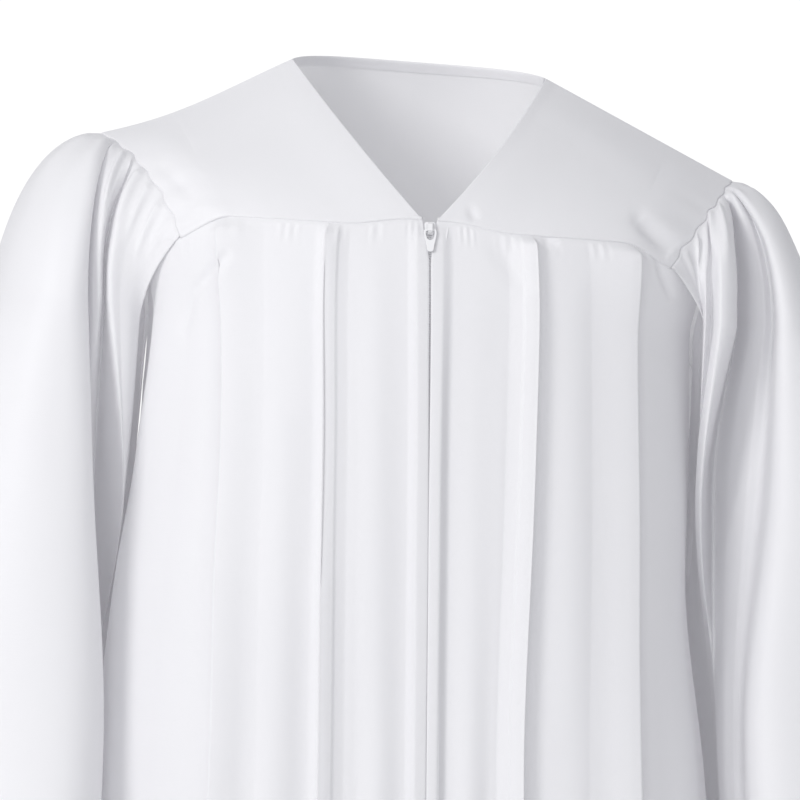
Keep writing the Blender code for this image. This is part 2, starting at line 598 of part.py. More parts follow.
def sleeve(side, loop, normals, underarm):
    """Grid of the sleeve's outer points from the armhole to the cuff, and its wall directions."""
    lines = SLEEVES[side]
    at = np.arange(len(lines) * SPLITS) / SPLITS
    heads = np.append(column(lines, "head"), 360.0)
    degrees = np.interp(at, np.arange(len(heads)), heads)
    around = np.append(loop_degrees(loop, underarm), 360.0)
    closed, closed_normals = np.concatenate([loop, loop[:1]]), np.concatenate([normals, normals[:1]])
    head = np.stack([np.interp(degrees, around, closed[:, k]) for k in range(3)], -1)
    facing = unit(np.stack([np.interp(degrees, around, closed_normals[:, k]) for k in range(3)], -1))
    from_tip = np.minimum(degrees, 360 - degrees)
    low = ease(*LOW_DEGREES, from_tip)
    head[:, 0] += SEAM_GAP * side
    head += facing * (SEAM_GAP + UNDERARM_EASE) * low[:, None]
    head[:, 2] += SEAM_GAP * low
    drop = between_lines(column(lines, "drop"), at)
    hung = np.array([[[row[f"x{k}"] * side, row[f"y{k}"]] for k in (1, 2, 3, 4)] for row in lines])
    for _ in range(CALM_ROUNDS):
        beside = (np.roll(hung, 1, axis=0) + np.roll(hung, -1, axis=0)) / 2
        hung += (beside - hung) * CALM_SHARE
    hang = between_lines(hung, at)
    share = np.array(SLEEVE_ROWS)[:, None]
    slanted = head[:, 2] + (LEVEL_Z - head[:, 2]) * share / LEVEL_SHARE
    level = LEVEL_Z + (CUFF_Z - LEVEL_Z) * (share - LEVEL_SHARE) / (1 - LEVEL_SHARE)
    z = np.where(share < LEVEL_SHARE, slanted, level)
    sideways = np.clip(from_tip / SIDE_DEGREES, 0, 1)
    reach = drop * np.interp(sideways, (0, 1), SWING_REACH)
    t = np.clip((head[:, 2] - z) / reach, 0, 1)
    swing = (1 - (1 - t) ** 2) ** np.interp(sideways, (0, 1), SWING_POWER)
    swing += (ease(0, 1, t) - swing) * ease(*UNDERARM_DEGREES, from_tip)
    grid = np.empty(z.shape + (3,))
    grid[..., 2] = z
    for j in range(len(at)):
        for k in (0, 1):
            below = smooth(SLEEVE_LEVELS, hang[j, :, k], z[:, j])
            grid[:, j, k] = head[j, k] + (below - head[j, k]) * swing[:, j]
    normal = grid_normals(grid, outward=grid - grid.mean(axis=1, keepdims=True), around=True)
    for _ in range(NORMAL_SMOOTHING):
        normal = unit(np.roll(normal, 1, axis=1) + 2 * normal + np.roll(normal, -1, axis=1))
    lean = np.minimum(normal[0, :, 0] * side, facing[:, 0] * side) * side
    normal[0, :, 0] = lean
    normal[0] = unit(normal[0])
    return grid, normal


def panel_at(grid, x, z):
    """The point of a front panel's grid that stands at x and z."""
    xs = np.array([np.interp(-z, -grid[:, j, 2], np.abs(grid[:, j, 0])) for j in range(grid.shape[1])])
    ys = np.array([np.interp(-z, -grid[:, j, 2], grid[:, j, 1]) for j in range(grid.shape[1])])
    return float(np.interp(abs(x), xs, ys))


def zip_rows():
    """Heights down the zip: close together round the slider, then with the panel's own rows."""
    top = SEAM_CENTRE_Z
    drops = list(TAPE_DROPS) + [row * (top - HEM_Z) for row in PANEL_ROWS]
    below = [top - drop for drop in drops[len(TAPE_DROPS):] if drop > TAPE_DROPS[-1] + 0.004]
    return [top - drop for drop in TAPE_DROPS] + [z for z in below if z > ZIP_END_Z + 0.02] + [ZIP_END_Z]


def tape_grid(side, panel):
    """The zip tape's outer points: the panel's own surface moved in, from the chain outwards."""
    points = []
    for z in zip_rows():
        edge = TAPE_EDGE + (V_HALF - TAPE_EDGE) * float(ease(*TAPE_OPEN, z))
        xs = edge + (TAPE_OUTER - edge) * np.array(TAPE_SPREAD)
        points.append([(side * x, panel_at(panel, x, z), z) for x in xs])
    return np.array(points)


def zip_chain(panel, material):
    """The closed teeth: a strip between the tapes, below the slider."""
    rows = [CHAIN_TOP_Z] + [z for z in zip_rows() if z < CHAIN_TOP_Z - 0.001]
    inset = CLOTH + ZIP_GAP
    outer = np.array([
        [(x, panel_at(panel, 0, z) + inset, z) for x in (-CHAIN_HALF, 0, CHAIN_HALF)] for z in rows
    ])
    return wall_object("zip_chain", outer, outer + np.array([0, CHAIN_THICK, 0]), material)


def leaned(points, centre):
    """Points of the slider's own frame, leaned back with the front's slope and set at its centre."""
    points = np.asarray(points, float)
    lean_cos, lean_sin = math.cos(FRONT_SLOPE), math.sin(FRONT_SLOPE)
    y = points[..., 1] * lean_cos + points[..., 2] * lean_sin
    z = points[..., 2] * lean_cos - points[..., 1] * lean_sin
    return np.stack([points[..., 0], y, z], -1) + centre


def prism(name, profile, depths, centre, material):
    """A solid from one outline seen from the front or side, drawn through two depths."""
    form = bmesh.new()
    rings = [[form.verts.new(p) for p in leaned(profile(depth), centre)] for depth in depths]
    count = len(rings[0])
    for near, far in zip(rings, rings[1:]):
        for k in range(count):
            form.faces.new((near[k], near[(k + 1) % count], far[(k + 1) % count], far[k]))
    form.faces.new(rings[0])
    form.faces.new(rings[-1])
    bmesh.ops.recalc_face_normals(form, faces=form.faces)
    mesh = bpy.data.meshes.new(name)
    form.to_mesh(mesh)
    form.free()
    return placed(name, mesh, material)


def slider_outline(depth):
    """The slider's body from the front: wide at the top, narrower at the foot, with cut corners."""
    half, _, tall = SLIDER_HALF
    foot, cut = half * SLIDER_TAPER, SLIDER_ROUND * 2
    right = [(half - cut, tall), (half, tall - cut), (half, 0), (foot, cut - tall), (foot - cut, -tall)]
    both = right + [(-x, z) for x, z in reversed(right)]
    return [(x, depth, z) for x, z in both]


def arch_outline(x):
    """The bridge on the slider's face, seen from the side. Its feet go into the body."""
    face = -SLIDER_HALF[1]
    long, thick, rise, sunk = ARCH_HALF_LENGTH, ARCH_THICK, ARCH_RISE, 0.0006
    outer = [(sunk, long), (-rise * 0.6, long), (-rise - thick, long * 0.62)]
    inner = [(sunk, long - thick), (-rise * 0.55, long - thick), (-rise, long * 0.5)]
    side = outer + [(y, -z) for y, z in reversed(outer)]
    hollow = inner + [(y, -z) for y, z in reversed(inner)]
    return [(x, face + y, z) for y, z in side + hollow[::-1]]


def zip_slider(centre, material):
    body = prism("zip_slider", slider_outline, (-SLIDER_HALF[1], SLIDER_HALF[1]), centre, material)
    arch = prism("zip_arch", arch_outline, (-ARCH_HALF_WIDTH, ARCH_HALF_WIDTH), centre, material)
    arch.hide_render = True
    arch.hide_viewport = True
    join = body.modifiers.new("arch", "BOOLEAN")
    join.operation, join.solver, join.object = "UNION", "EXACT", arch
    return body


def zip_pull(pivot, material):
    """The pull tab: a shield-shaped plate with a hole for the bridge. Its top strip turns on the pivot."""
    form = bmesh.new()
    rings = []
    for outline in (PULL_OUTER, PULL_HOLE):
        both = [(half, z) for z, half in outline] + [(-half, z) for z, half in reversed(outline)]
        for depth in (-PULL_THICK / 2, PULL_THICK / 2):
            points = [(x, depth, z) for x, z in both]
            rings.append([form.verts.new(p) for p in leaned(points, pivot)])
    count = len(rings[0])
    for a, b in ((0, 1), (1, 3), (3, 2), (2, 0)):
        for k in range(count):
            n = (k + 1) % count
            form.faces.new((rings[a][k], rings[a][n], rings[b][n], rings[b][k]))
    bmesh.ops.recalc_face_normals(form, faces=form.faces)
    mesh = bpy.data.meshes.new("zip_pull")
    form.to_mesh(mesh)
    form.free()
    return placed("zip_pull", mesh, material)


def build():
    for old in list(bpy.data.objects):
        bpy.data.objects.remove(old)
    cloth = finish("white_cloth", *WHITE_CLOTH)
    tape = finish("white_tape", *WHITE_TAPE)
    enamel = finish("white_enamel", *WHITE_ENAMEL)

    front_columns = {
        s: panel_columns(FRONT_FOLDS[s], FRONT_EDGE_DEGREES, 90.0, FRONT_CORNER_DEGREES, FRONT_SPREAD, 1.3)
        for s in (-1, 1)
    }
    back_columns = {
        s: panel_columns(BACK_FOLDS[s], 0.0, 90.0, BACK_CORNER_DEGREES, BACK_SPREAD, 2.6) for s in (-1, 1)
    }
    names = {-1: "right", 1: "left"}
    fronts = {}
    yoke_b = back_yoke(back_columns)
    back_halves = {s: half_panel(s, False, back_columns[s]) for s in (-1, 1)}
    for side in (-1, 1):
        columns = front_columns[side]
        grid, plain = half_panel(side, True, columns)
        normal = grid_normals(grid, outward=plain)
        normal[0], normal[:, -1] = plain[0], plain[:, -1]
        outer = trimmed(grid, top=True, last=True)
        fronts[side] = outer
        wall_object(f"front_{names[side]}", worn(outer), worn(outer - normal * CLOTH), cloth)
        band = tape_grid(side, outer)
        away = grid_normals(band, outward=FORWARD)
        near = band - away * (CLOTH + ZIP_GAP)
        wall_object(f"zip_tape_{names[side]}", worn(near), worn(near - away * TAPE_THICK), tape)
        yoke = front_yoke(side, columns)
        outer = trimmed(yoke[0], top=True, bottom=True)
        wall_object(f"front_yoke_{names[side]}", worn(outer), worn(outer - yoke[1] * CLOTH), cloth)
        over = columns >= FRONT_CORNER_DEGREES
        back_over = back_columns[side] >= BACK_CORNER_DEGREES
        back_grid, back_plain = back_halves[side]
        loop, directions, underarm = armhole(
            side, yoke, (grid[0][over], plain[0][over]),
            (back_grid[0][back_over], back_plain[0][back_over]), yoke_b,
        )
        tube, tube_normal = sleeve(side, loop, directions, underarm)
        inner = tube - tube_normal * CLOTH
        wall_object(f"sleeve_{names[side]}", worn(tube), worn(inner), cloth, around=True)
    grid = np.concatenate([back_halves[-1][0][:, ::-1], back_halves[1][0][:, 1:]], axis=1)
    plain = np.concatenate([back_halves[-1][1][:, ::-1], back_halves[1][1][:, 1:]], axis=1)
    normal = grid_normals(grid, outward=plain)
    normal[0], normal[:, 0], normal[:, -1] = plain[0], plain[:, 0], plain[:, -1]
    outer = trimmed(grid, top=True, first=True, last=True)
    wall_object("back", worn(outer), worn(outer - normal * CLOTH), cloth)
    outer = trimmed(yoke_b[0], top=True, bottom=True)
    wall_object("back_yoke", worn(outer), worn(outer - yoke_b[1] * CLOTH), cloth)

    zip_chain(fronts[1], tape)
    front_y = panel_at(fronts[1], 0, SLIDER_Z)
    centre = np.array([0, front_y - SLIDER_PROUD + SLIDER_HALF[1], SLIDER_Z])
    zip_slider(centre, enamel)
    bar = np.array([0, -SLIDER_HALF[1] - BAR_OUT, -BAR_BELOW_CENTRE])
    pivot = leaned(bar, centre)
    zip_pull(pivot, enamel)


build()
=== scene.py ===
"""Looks for the white baptism robe: fine cloth on the form of its solids, zip, light and camera.

Metres, +Z up. The front faces -Y and +X is the wearer's left. Angles go round the body from the
centre front or the centre back (0) to the side seam (90).
"""

import math

import bmesh
import bpy
import numpy as np
from mathutils import Matrix, Vector

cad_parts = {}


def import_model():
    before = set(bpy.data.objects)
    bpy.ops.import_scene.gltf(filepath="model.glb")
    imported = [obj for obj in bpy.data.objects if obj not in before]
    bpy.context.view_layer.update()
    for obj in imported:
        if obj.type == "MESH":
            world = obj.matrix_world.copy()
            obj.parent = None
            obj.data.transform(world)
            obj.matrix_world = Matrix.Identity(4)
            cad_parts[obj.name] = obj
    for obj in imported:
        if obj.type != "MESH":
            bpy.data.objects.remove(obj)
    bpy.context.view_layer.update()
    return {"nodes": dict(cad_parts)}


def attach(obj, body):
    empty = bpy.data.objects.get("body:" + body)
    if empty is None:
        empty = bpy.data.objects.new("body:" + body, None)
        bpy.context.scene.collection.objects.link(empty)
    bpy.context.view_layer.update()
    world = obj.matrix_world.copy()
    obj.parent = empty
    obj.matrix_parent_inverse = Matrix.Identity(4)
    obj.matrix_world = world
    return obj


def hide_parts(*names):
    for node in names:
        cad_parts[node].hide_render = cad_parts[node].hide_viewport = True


UP = np.array([0.0, 0.0, 1.0])
FORWARD = np.array([0.0, -1.0, 0.0])

NAMES = {-1: "right", 1: "left"}

# Neck and shoulders
NECK_HALF = 0.083
BACK_NECK = (0.062, 0.010)
BACK_NECK_MIDDLE = (0.055, 0.0475, 0.009)
BACK_NECK_FALL = 2.5
TIP = (0.206, 0.002, -0.057)
SHOULDER_HOLLOW = {-1: 0.005, 1: 0.0}
HOLLOW_SHIFT = 1.3
V_HALF = 0.0045
V_MIDDLE = (0.0465, -0.074, -0.0535)

# Steps, in degrees and metres, over which the body's surface directions are read
TURN_STEP = 0.5
DROP_STEP = 0.002

# Front: the yoke seam, the corner where it meets the armhole, and the underarm
SEAM_CENTRE_Z = -0.104
SEAM_SAG = 0.005
SAG_DEGREES = (6, 26)
CORNER_DROP_DEGREES = (51, 64.5)
FRONT_CORNER_DEGREES = 61.5
FRONT_CORNER_Z = -0.1235
UNDERARM_Z = -0.257
ARMHOLE_CURVE = 2.45
FRONT_ARMHOLE_MIDDLE = {-1: (0.1765, -0.052, -0.0835), 1: (0.1820, -0.051, -0.0865)}

# Back
BACK_SEAM_Z = -0.150
BACK_CORNER_DEGREES = 63.0
BACK_ARMHOLE_MIDDLE = (0.188, 0.048, -0.094)

# Length
HEM_Z = -1.300

# The pose: the wearer's right shoulder, at -X, is the higher one
SHOULDER_TILT = 0.062
TILT_FULL_Z = -0.05
TILT_END_Z = -0.30


def table(columns, *rows):
    """A table as a list of dictionaries, a row for each section or fold."""
    return [dict(zip(columns.split(), row)) for row in rows]


# Level sections of the body, from the yoke seam down to the hem
BODY = table(
    "z      right  left   front  back   square",
    (-0.070, 0.202, 0.202, 0.100, 0.094, 2.6),
    (-0.107, 0.198, 0.198, 0.112, 0.104, 2.6),
    (-0.172, 0.176, 0.176, 0.121, 0.116, 2.6),
    (-0.257, 0.181, 0.176, 0.124, 0.122, 2.8),
    (-0.335, 0.190, 0.172, 0.126, 0.128, 3.2),
    (-0.450, 0.199, 0.181, 0.128, 0.135, 3.5),
    (-0.650, 0.210, 0.197, 0.144, 0.155, 3.3),
    (-1.000, 0.258, 0.254, 0.180, 0.194, 2.8),
    (-1.300, 0.305, 0.300, 0.214, 0.228, 2.5),
)

# Flutes: the angle of each crest at four heights, how far it rises there, how wide its two flanks are,
# how sharp it is and how wide a band stands along its inner side
FOLD_LEVELS = (-0.120, -0.250, -0.450, -1.300)
FOLD_COLUMNS = "seam chest waist hem rise_seam rise_chest rise_waist rise_hem inner outer crisp band"
FRONT_RIGHT = table(
    FOLD_COLUMNS,
    (4.0, 3.4, 3.3, 2.6, 0.0026, 0.0036, 0.0040, 0.0060, 9.0, 3.1, 0.3, 0),
    (14.5, 13.5, 13.0, 12.0, 0.0000, 0.0010, 0.0030, 0.0200, 7.0, 7.0, 0.0, 0),
    (29.7, 28.0, 27.3, 24.5, 0.0045, 0.0050, 0.0060, 0.0240, 6.0, 3.4, 0.9, 3.0),
    (41.0, 39.0, 37.5, 36.0, 0.0000, 0.0010, 0.0040, 0.0210, 8.0, 8.0, 0.0, 0),
    (53.2, 50.0, 47.8, 47.5, 0.0060, 0.0060, 0.0080, 0.0270, 9.0, 4.6, 0.8, 0),
    (71.0, 72.0, 72.0, 68.0, 0.0020, 0.0085, 0.0125, 0.0240, 9.0, 4.5, 0.6, 0),
    (82.0, 82.0, 81.0, 79.0, 0.0000, 0.0000, 0.0030, 0.0200, 6.0, 6.0, 0.0, 0),
)
FRONT_LEFT = table(
    FOLD_COLUMNS,
    (4.0, 3.1, 2.8, 2.4, 0.0020, 0.0041, 0.0046, 0.0060, 8.0, 3.6, 0.3, 0),
    (14.5, 13.0, 12.0, 11.5, 0.0000, 0.0010, 0.0030, 0.0190, 7.0, 7.0, 0.0, 0),
    (30.3, 28.0, 24.7, 23.5, 0.0060, 0.0070, 0.0090, 0.0260, 7.0, 3.0, 1.0, 3.2),
    (41.0, 39.5, 37.0, 35.0, 0.0000, 0.0010, 0.0030, 0.0210, 8.0, 8.0, 0.0, 0),
    (53.5, 51.5, 48.6, 47.0, 0.0070, 0.0080, 0.0100, 0.0280, 10.0, 4.4, 1.0, 0),
    (67.0, 66.5, 65.0, 61.0, 0.0000, 0.0000, 0.0040, 0.0240, 8.0, 8.0, 0.0, 0),
    (79.0, 79.0, 78.0, 76.0, 0.0000, 0.0000, 0.0050, 0.0210, 8.0, 8.0, 0.0, 0),
)
BACK_RIGHT = table(
    FOLD_COLUMNS,
    (0.0, 0.0, 0.0, 0.0, 0.0050, 0.0060, 0.0100, 0.0250, 6.0, 6.0, 0.2, 0),
    (13.0, 13.5, 14.0, 13.0, 0.0045, 0.0055, 0.0080, 0.0240, 6.0, 5.0, 0.6, 0),
    (27.0, 26.5, 26.0, 26.0, 0.0050, 0.0065, 0.0095, 0.0260, 7.0, 5.0, 0.7, 0),
    (40.0, 40.5, 40.0, 39.0, 0.0045, 0.0060, 0.0080, 0.0240, 6.5, 5.0, 0.6, 0),
    (53.0, 52.0, 51.5, 52.0, 0.0050, 0.0060, 0.0085, 0.0250, 6.5, 5.0, 0.7, 0),
    (67.0, 66.5, 66.0, 65.0, 0.0000, 0.0000, 0.0050, 0.0230, 7.0, 7.0, 0.0, 0),
    (79.5, 79.0, 79.0, 78.5, 0.0000, 0.0000, 0.0040, 0.0200, 6.0, 6.0, 0.0, 0),
)
BACK_LEFT = table(
    FOLD_COLUMNS,
    (0.0, 0.0, 0.0, 0.0, 0.0050, 0.0060, 0.0100, 0.0250, 6.0, 6.0, 0.2, 0),
    (13.5, 13.0, 13.0, 13.5, 0.0050, 0.0060, 0.0085, 0.0250, 6.0, 5.0, 0.6, 0),
    (26.5, 27.0, 27.0, 27.0, 0.0045, 0.0055, 0.0085, 0.0240, 7.0, 5.0, 0.7, 0),
    (39.5, 39.0, 39.5, 40.0, 0.0050, 0.0065, 0.0090, 0.0260, 6.5, 5.0, 0.7, 0),
    (53.0, 53.5, 53.0, 52.0, 0.0045, 0.0060, 0.0080, 0.0240, 6.5, 5.0, 0.6, 0),
    (67.0, 66.0, 66.5, 65.5, 0.0000, 0.0000, 0.0050, 0.0230, 7.0, 7.0, 0.0, 0),
    (79.5, 79.5, 79.0, 78.5, 0.0000, 0.0000, 0.0040, 0.0200, 6.0, 6.0, 0.0, 0),
)
FRONT_FOLDS = {-1: FRONT_RIGHT, 1: FRONT_LEFT}
BACK_FOLDS = {-1: BACK_RIGHT, 1: BACK_LEFT}
FRONT_EDGE_DEGREES = 2.30
LEAST_EDGE_STEP = 1.6
CRISP_START = 0.007
SOFT_START = 0.016
CRISP_INNER = 1.25
CRISP_OUTER = 2.4
CRISP_HEM = 0.55
BAND_RISE = 0.0009
BAND_EDGE_DEGREES = 0.5
BAND_FADE = (0.45, 0.9)
CRISP_FADE = (0.45, 1.3)
LEAN = 0.0016
LEAN_FROM_CRISP = 0.5
LEAN_AT_DEGREES = -0.3
LEAN_DEGREES = 1.4

# The front edges' half gap: at the seam, part way down and closed, with the heights where it changes
LIPS_PART = 0.0009
LIPS_CLOSED = 0.0004
LIPS_PART_Z = -0.300
LIPS_CLOSED_Z = -0.170
NOTCH_DEPTH = 0.028

# Sleeves: lines that run down each sleeve, named by where they start round the armhole: 0 at the tip,
# 77 at the yoke corner, 180 under the arm and 270 at the back. Each swings out from the seam over its
# drop, then hangs through x and y at four levels.
SLEEVE_LEVELS = (-0.160, -0.270, -0.420, -0.630)
CUFF_Z = -0.630
SLEEVE_COLUMNS = "head drop  x1 y1  x2 y2  x3 y3  x4 y4"
SLEEVE_FRONT_RIGHT = table(
    SLEEVE_COLUMNS,
    (0, 0.160, 0.2830, 0.004, 0.3100, 0.000, 0.3280, -0.006, 0.352, -0.020),
    (4, 0.150, 0.2720, -0.050, 0.2980, -0.066, 0.3140, -0.078, 0.336, -0.098),
    (7, 0.130, 0.2460, -0.084, 0.2620, -0.104, 0.2740, -0.116, 0.296, -0.148),
    (9, 0.110, 0.2240, -0.090, 0.2250, -0.108, 0.2220, -0.122, 0.240, -0.160),
    (11.5, 0.090, 0.2120, -0.080, 0.2070, -0.094, 0.1990, -0.100, 0.212, -0.132),
    (14.5, 0.080, 0.2150, -0.062, 0.2140, -0.062, 0.2080, -0.066, 0.214, -0.100),
    (19, 0.070, 0.2085, -0.071, 0.2110, -0.054, 0.2130, -0.044, 0.219, -0.080),
    (27, 0.065, 0.2035, -0.072, 0.2090, -0.045, 0.2125, -0.034, 0.218, -0.070),
    (33, 0.060, 0.2020, -0.057, 0.2070, -0.034, 0.2115, -0.024, 0.217, -0.056),
    (39, 0.060, 0.1990, -0.074, 0.1905, -0.064, 0.2090, -0.014, 0.218, -0.044),
    (50, 0.058, 0.1915, -0.073, 0.1885, -0.066, 0.2095, -0.008, 0.221, -0.034),
    (63, 0.052, 0.1840, -0.070, 0.1875, -0.064, 0.2085, 0.000, 0.220, -0.018),
    (77, 0.045, 0.1790, -0.064, 0.1870, -0.056, 0.2085, 0.006, 0.220, -0.006),
    (90, 0.045, 0.1790, -0.057, 0.1870, -0.048, 0.2085, 0.012, 0.220, 0.000),
    (105, 0.050, 0.1820, -0.044, 0.1895, -0.035, 0.2085, 0.020, 0.220, 0.008),
    (125, 0.060, 0.1840, -0.032, 0.1920, -0.021, 0.2090, 0.030, 0.220, 0.024),
    (150, 0.080, 0.1860, -0.016, 0.1935, -0.008, 0.2075, 0.045, 0.220, 0.046),
    (180, 0.100, 0.1870, 0.004, 0.1935, 0.010, 0.2045, 0.062, 0.220, 0.070),
)
SLEEVE_FRONT_LEFT = table(
    SLEEVE_COLUMNS,
    (0, 0.160, 0.2675, 0.004, 0.2960, 0.000, 0.3160, -0.006, 0.345, -0.020),
    (3, 0.150, 0.2620, -0.040, 0.2880, -0.058, 0.3060, -0.072, 0.332, -0.096),
    (5, 0.130, 0.2490, -0.074, 0.2640, -0.098, 0.2740, -0.112, 0.294, -0.146),
    (6.5, 0.110, 0.2340, -0.085, 0.2340, -0.106, 0.2240, -0.122, 0.242, -0.160),
    (8.5, 0.100, 0.2240, -0.080, 0.2185, -0.095, 0.2040, -0.106, 0.216, -0.136),
    (10.5, 0.090, 0.2260, -0.050, 0.2190, -0.054, 0.2080, -0.056, 0.213, -0.108),
    (13, 0.080, 0.2190, -0.050, 0.2095, -0.046, 0.2020, -0.048, 0.209, -0.092),
    (15.5, 0.070, 0.2120, -0.042, 0.2005, -0.034, 0.1965, -0.044, 0.208, -0.072),
    (18.5, 0.060, 0.2055, -0.020, 0.1925, -0.016, 0.1935, -0.034, 0.210, -0.052),
    (22, 0.060, 0.1985, -0.072, 0.1820, -0.052, 0.1955, -0.022, 0.214, -0.036),
    (29, 0.055, 0.1868, -0.085, 0.1785, -0.065, 0.1965, -0.012, 0.213, -0.026),
    (37, 0.050, 0.1825, -0.073, 0.1752, -0.060, 0.1968, -0.006, 0.213, -0.020),
    (46, 0.050, 0.1775, -0.080, 0.1760, -0.056, 0.1972, -0.001, 0.213, -0.014),
    (61, 0.050, 0.1775, -0.0715, 0.1775, -0.051, 0.1975, 0.004, 0.212, -0.008),
    (77, 0.045, 0.1815, -0.0700, 0.1790, -0.046, 0.1975, 0.009, 0.212, 0.000),
    (94, 0.045, 0.1815, -0.0530, 0.1805, -0.037, 0.1970, 0.015, 0.212, 0.010),
    (122, 0.060, 0.1805, -0.033, 0.1815, -0.021, 0.1950, 0.030, 0.212, 0.032),
    (150, 0.080, 0.1810, -0.016, 0.1815, -0.008, 0.1915, 0.045, 0.212, 0.052),
    (180, 0.100, 0.1810, 0.004, 0.1810, 0.010, 0.1860, 0.062, 0.212, 0.074),
)
SLEEVE_BACK = table(
    SLEEVE_COLUMNS,
    (208, 0.070, 0.1850, 0.034, 0.1855, 0.056, 0.1900, 0.090, 0.216, 0.100),
    (228, 0.060, 0.1810, 0.066, 0.1840, 0.084, 0.1970, 0.110, 0.220, 0.122),
    (245, 0.060, 0.1870, 0.080, 0.1960, 0.098, 0.2110, 0.109, 0.232, 0.117),
    (262, 0.060, 0.1980, 0.089, 0.2130, 0.108, 0.2270, 0.116, 0.245, 0.130),
    (278, 0.070, 0.2090, 0.086, 0.2270, 0.100, 0.2410, 0.108, 0.260, 0.113),
    (292, 0.080, 0.2190, 0.089, 0.2420, 0.104, 0.2570, 0.112, 0.279, 0.120),
    (306, 0.090, 0.2310, 0.079, 0.2550, 0.090, 0.2720, 0.095, 0.296, 0.098),
    (322, 0.110, 0.2440, 0.074, 0.2700, 0.082, 0.2890, 0.086, 0.316, 0.088),
    (341, 0.130, 0.2640, 0.044, 0.2900, 0.048, 0.3100, 0.047, 0.340, 0.040),
)
SLEEVES = {-1: SLEEVE_FRONT_RIGHT + SLEEVE_BACK, 1: SLEEVE_FRONT_LEFT + SLEEVE_BACK}
LEVEL_SHARE = 0.45
LEVEL_Z = -0.345
SEAM_GAP = 0.0003
UNDERARM_EASE = 0.0016
LOW_DEGREES = (60, 110)
UNDERARM_DEGREES = (90, 165)
SIDE_DEGREES = 50
SWING_REACH = (1.0, 1.2)
SWING_POWER = (0.5, 1.0)
HEAD_ROWS = 6  # which way the sleeve leaves its seam is read over so many rows

# Scallops of the front yoke's armhole edge: share of the way down, half width and depth
SCALLOP_COLUMNS = "at wide deep"
SCALLOPS = {
    -1: table(
        SCALLOP_COLUMNS,
        (0.13, 0.08, 0.0012), (0.30, 0.09, 0.0024), (0.48, 0.08, 0.0014), (0.66, 0.09, 0.0022),
        (0.85, 0.08, 0.0016),
    ),
    1: table(
        SCALLOP_COLUMNS,
        (0.12, 0.07, 0.0016), (0.27, 0.08, 0.0012), (0.43, 0.08, 0.0024), (0.62, 0.09, 0.0016),
        (0.82, 0.09, 0.0024),
    ),
}

# Gathers at the sleeve's head: where round the armhole, half width in degrees, rise and length
GATHER_COLUMNS = "at wide rise length"
GATHERS = {
    -1: table(
        GATHER_COLUMNS,
        (4, 1.8, 0.0022, 0.050), (9, 1.6, 0.0026, 0.040), (16, 1.8, 0.0022, 0.045),
        (23, 1.6, 0.0028, 0.050), (30, 1.8, 0.0024, 0.040), (38, 2.0, 0.0028, 0.045),
        (47, 2.0, 0.0022, 0.040), (57, 2.2, 0.0024, 0.040), (66, 2.0, 0.0016, 0.030),
        (282, 2.4, 0.0020, 0.035), (292, 2.4, 0.0024, 0.045),
        (302, 2.2, 0.0020, 0.040), (312, 2.4, 0.0026, 0.050), (323, 2.4, 0.0022, 0.040),
        (334, 2.6, 0.0026, 0.050), (345, 2.2, 0.0020, 0.040), (354, 1.8, 0.0024, 0.050),
    ),
    1: table(
        GATHER_COLUMNS,
        (4, 1.8, 0.0022, 0.045), (9, 1.5, 0.0024, 0.040), (14, 1.6, 0.0028, 0.050),
        (20, 1.6, 0.0022, 0.040), (26, 1.8, 0.0030, 0.050), (34, 2.0, 0.0024, 0.040),
        (43, 2.0, 0.0020, 0.040), (53, 2.2, 0.0026, 0.045), (63, 2.0, 0.0018, 0.030),
        (280, 2.4, 0.0022, 0.040), (290, 2.4, 0.0020, 0.040),
        (301, 2.2, 0.0026, 0.050), (311, 2.4, 0.0020, 0.040), (322, 2.4, 0.0024, 0.045),
        (333, 2.6, 0.0022, 0.040), (344, 2.2, 0.0026, 0.050), (353, 1.8, 0.0020, 0.040),
    ),
}

# How far below the head a gather has risen, and the share of its length where it starts to die away
GATHER_START = 0.005
GATHER_FULL = 0.3

# Soft creases, seen from the front or the back: ends, half width, and rise, below 0 for a
# trough
CREASE_COLUMNS = "x1 z1 x2 z2 wide rise"
FRONT_CREASES = table(
    CREASE_COLUMNS,
    (-0.1265, -0.1270, -0.1460, -0.1500, 0.0034, -0.0022),
    (-0.1460, -0.1500, -0.1530, -0.1790, 0.0034, -0.0016),
    (0.0720, -0.1140, 0.0800, -0.1190, 0.0030, -0.0016),
    (0.0400, -0.1190, 0.0620, -0.1500, 0.0060, -0.0010),
    (0.1445, -0.1250, 0.1560, -0.1500, 0.0030, -0.0020),
    (-0.0700, -0.1400, -0.0640, -0.3300, 0.0090, -0.0012),
    (-0.0340, -0.1350, -0.0380, -0.4200, 0.0100, 0.0010),
    (0.0440, -0.2000, 0.0400, -0.4600, 0.0090, 0.0010),
    (0.0920, -0.1500, 0.0880, -0.4200, 0.0110, 0.0012),
    (-0.0900, -0.2300, -0.0860, -0.5200, 0.0100, 0.0012),
)
YOKE_CREASES = table(
    CREASE_COLUMNS,
    (0.0255, -0.0965, 0.0290, -0.1040, 0.0028, -0.0014),
    (0.1350, -0.1010, 0.1560, -0.1200, 0.0062, -0.0042),
    (-0.1500, -0.0900, -0.1230, -0.1030, 0.0070, 0.0012),
    (-0.1640, -0.0720, -0.1430, -0.0950, 0.0050, -0.0014),
    (0.0850, -0.0300, 0.1500, -0.0700, 0.0120, 0.0012),
    (-0.0900, -0.0200, -0.1500, -0.0500, 0.0120, 0.0010),
)
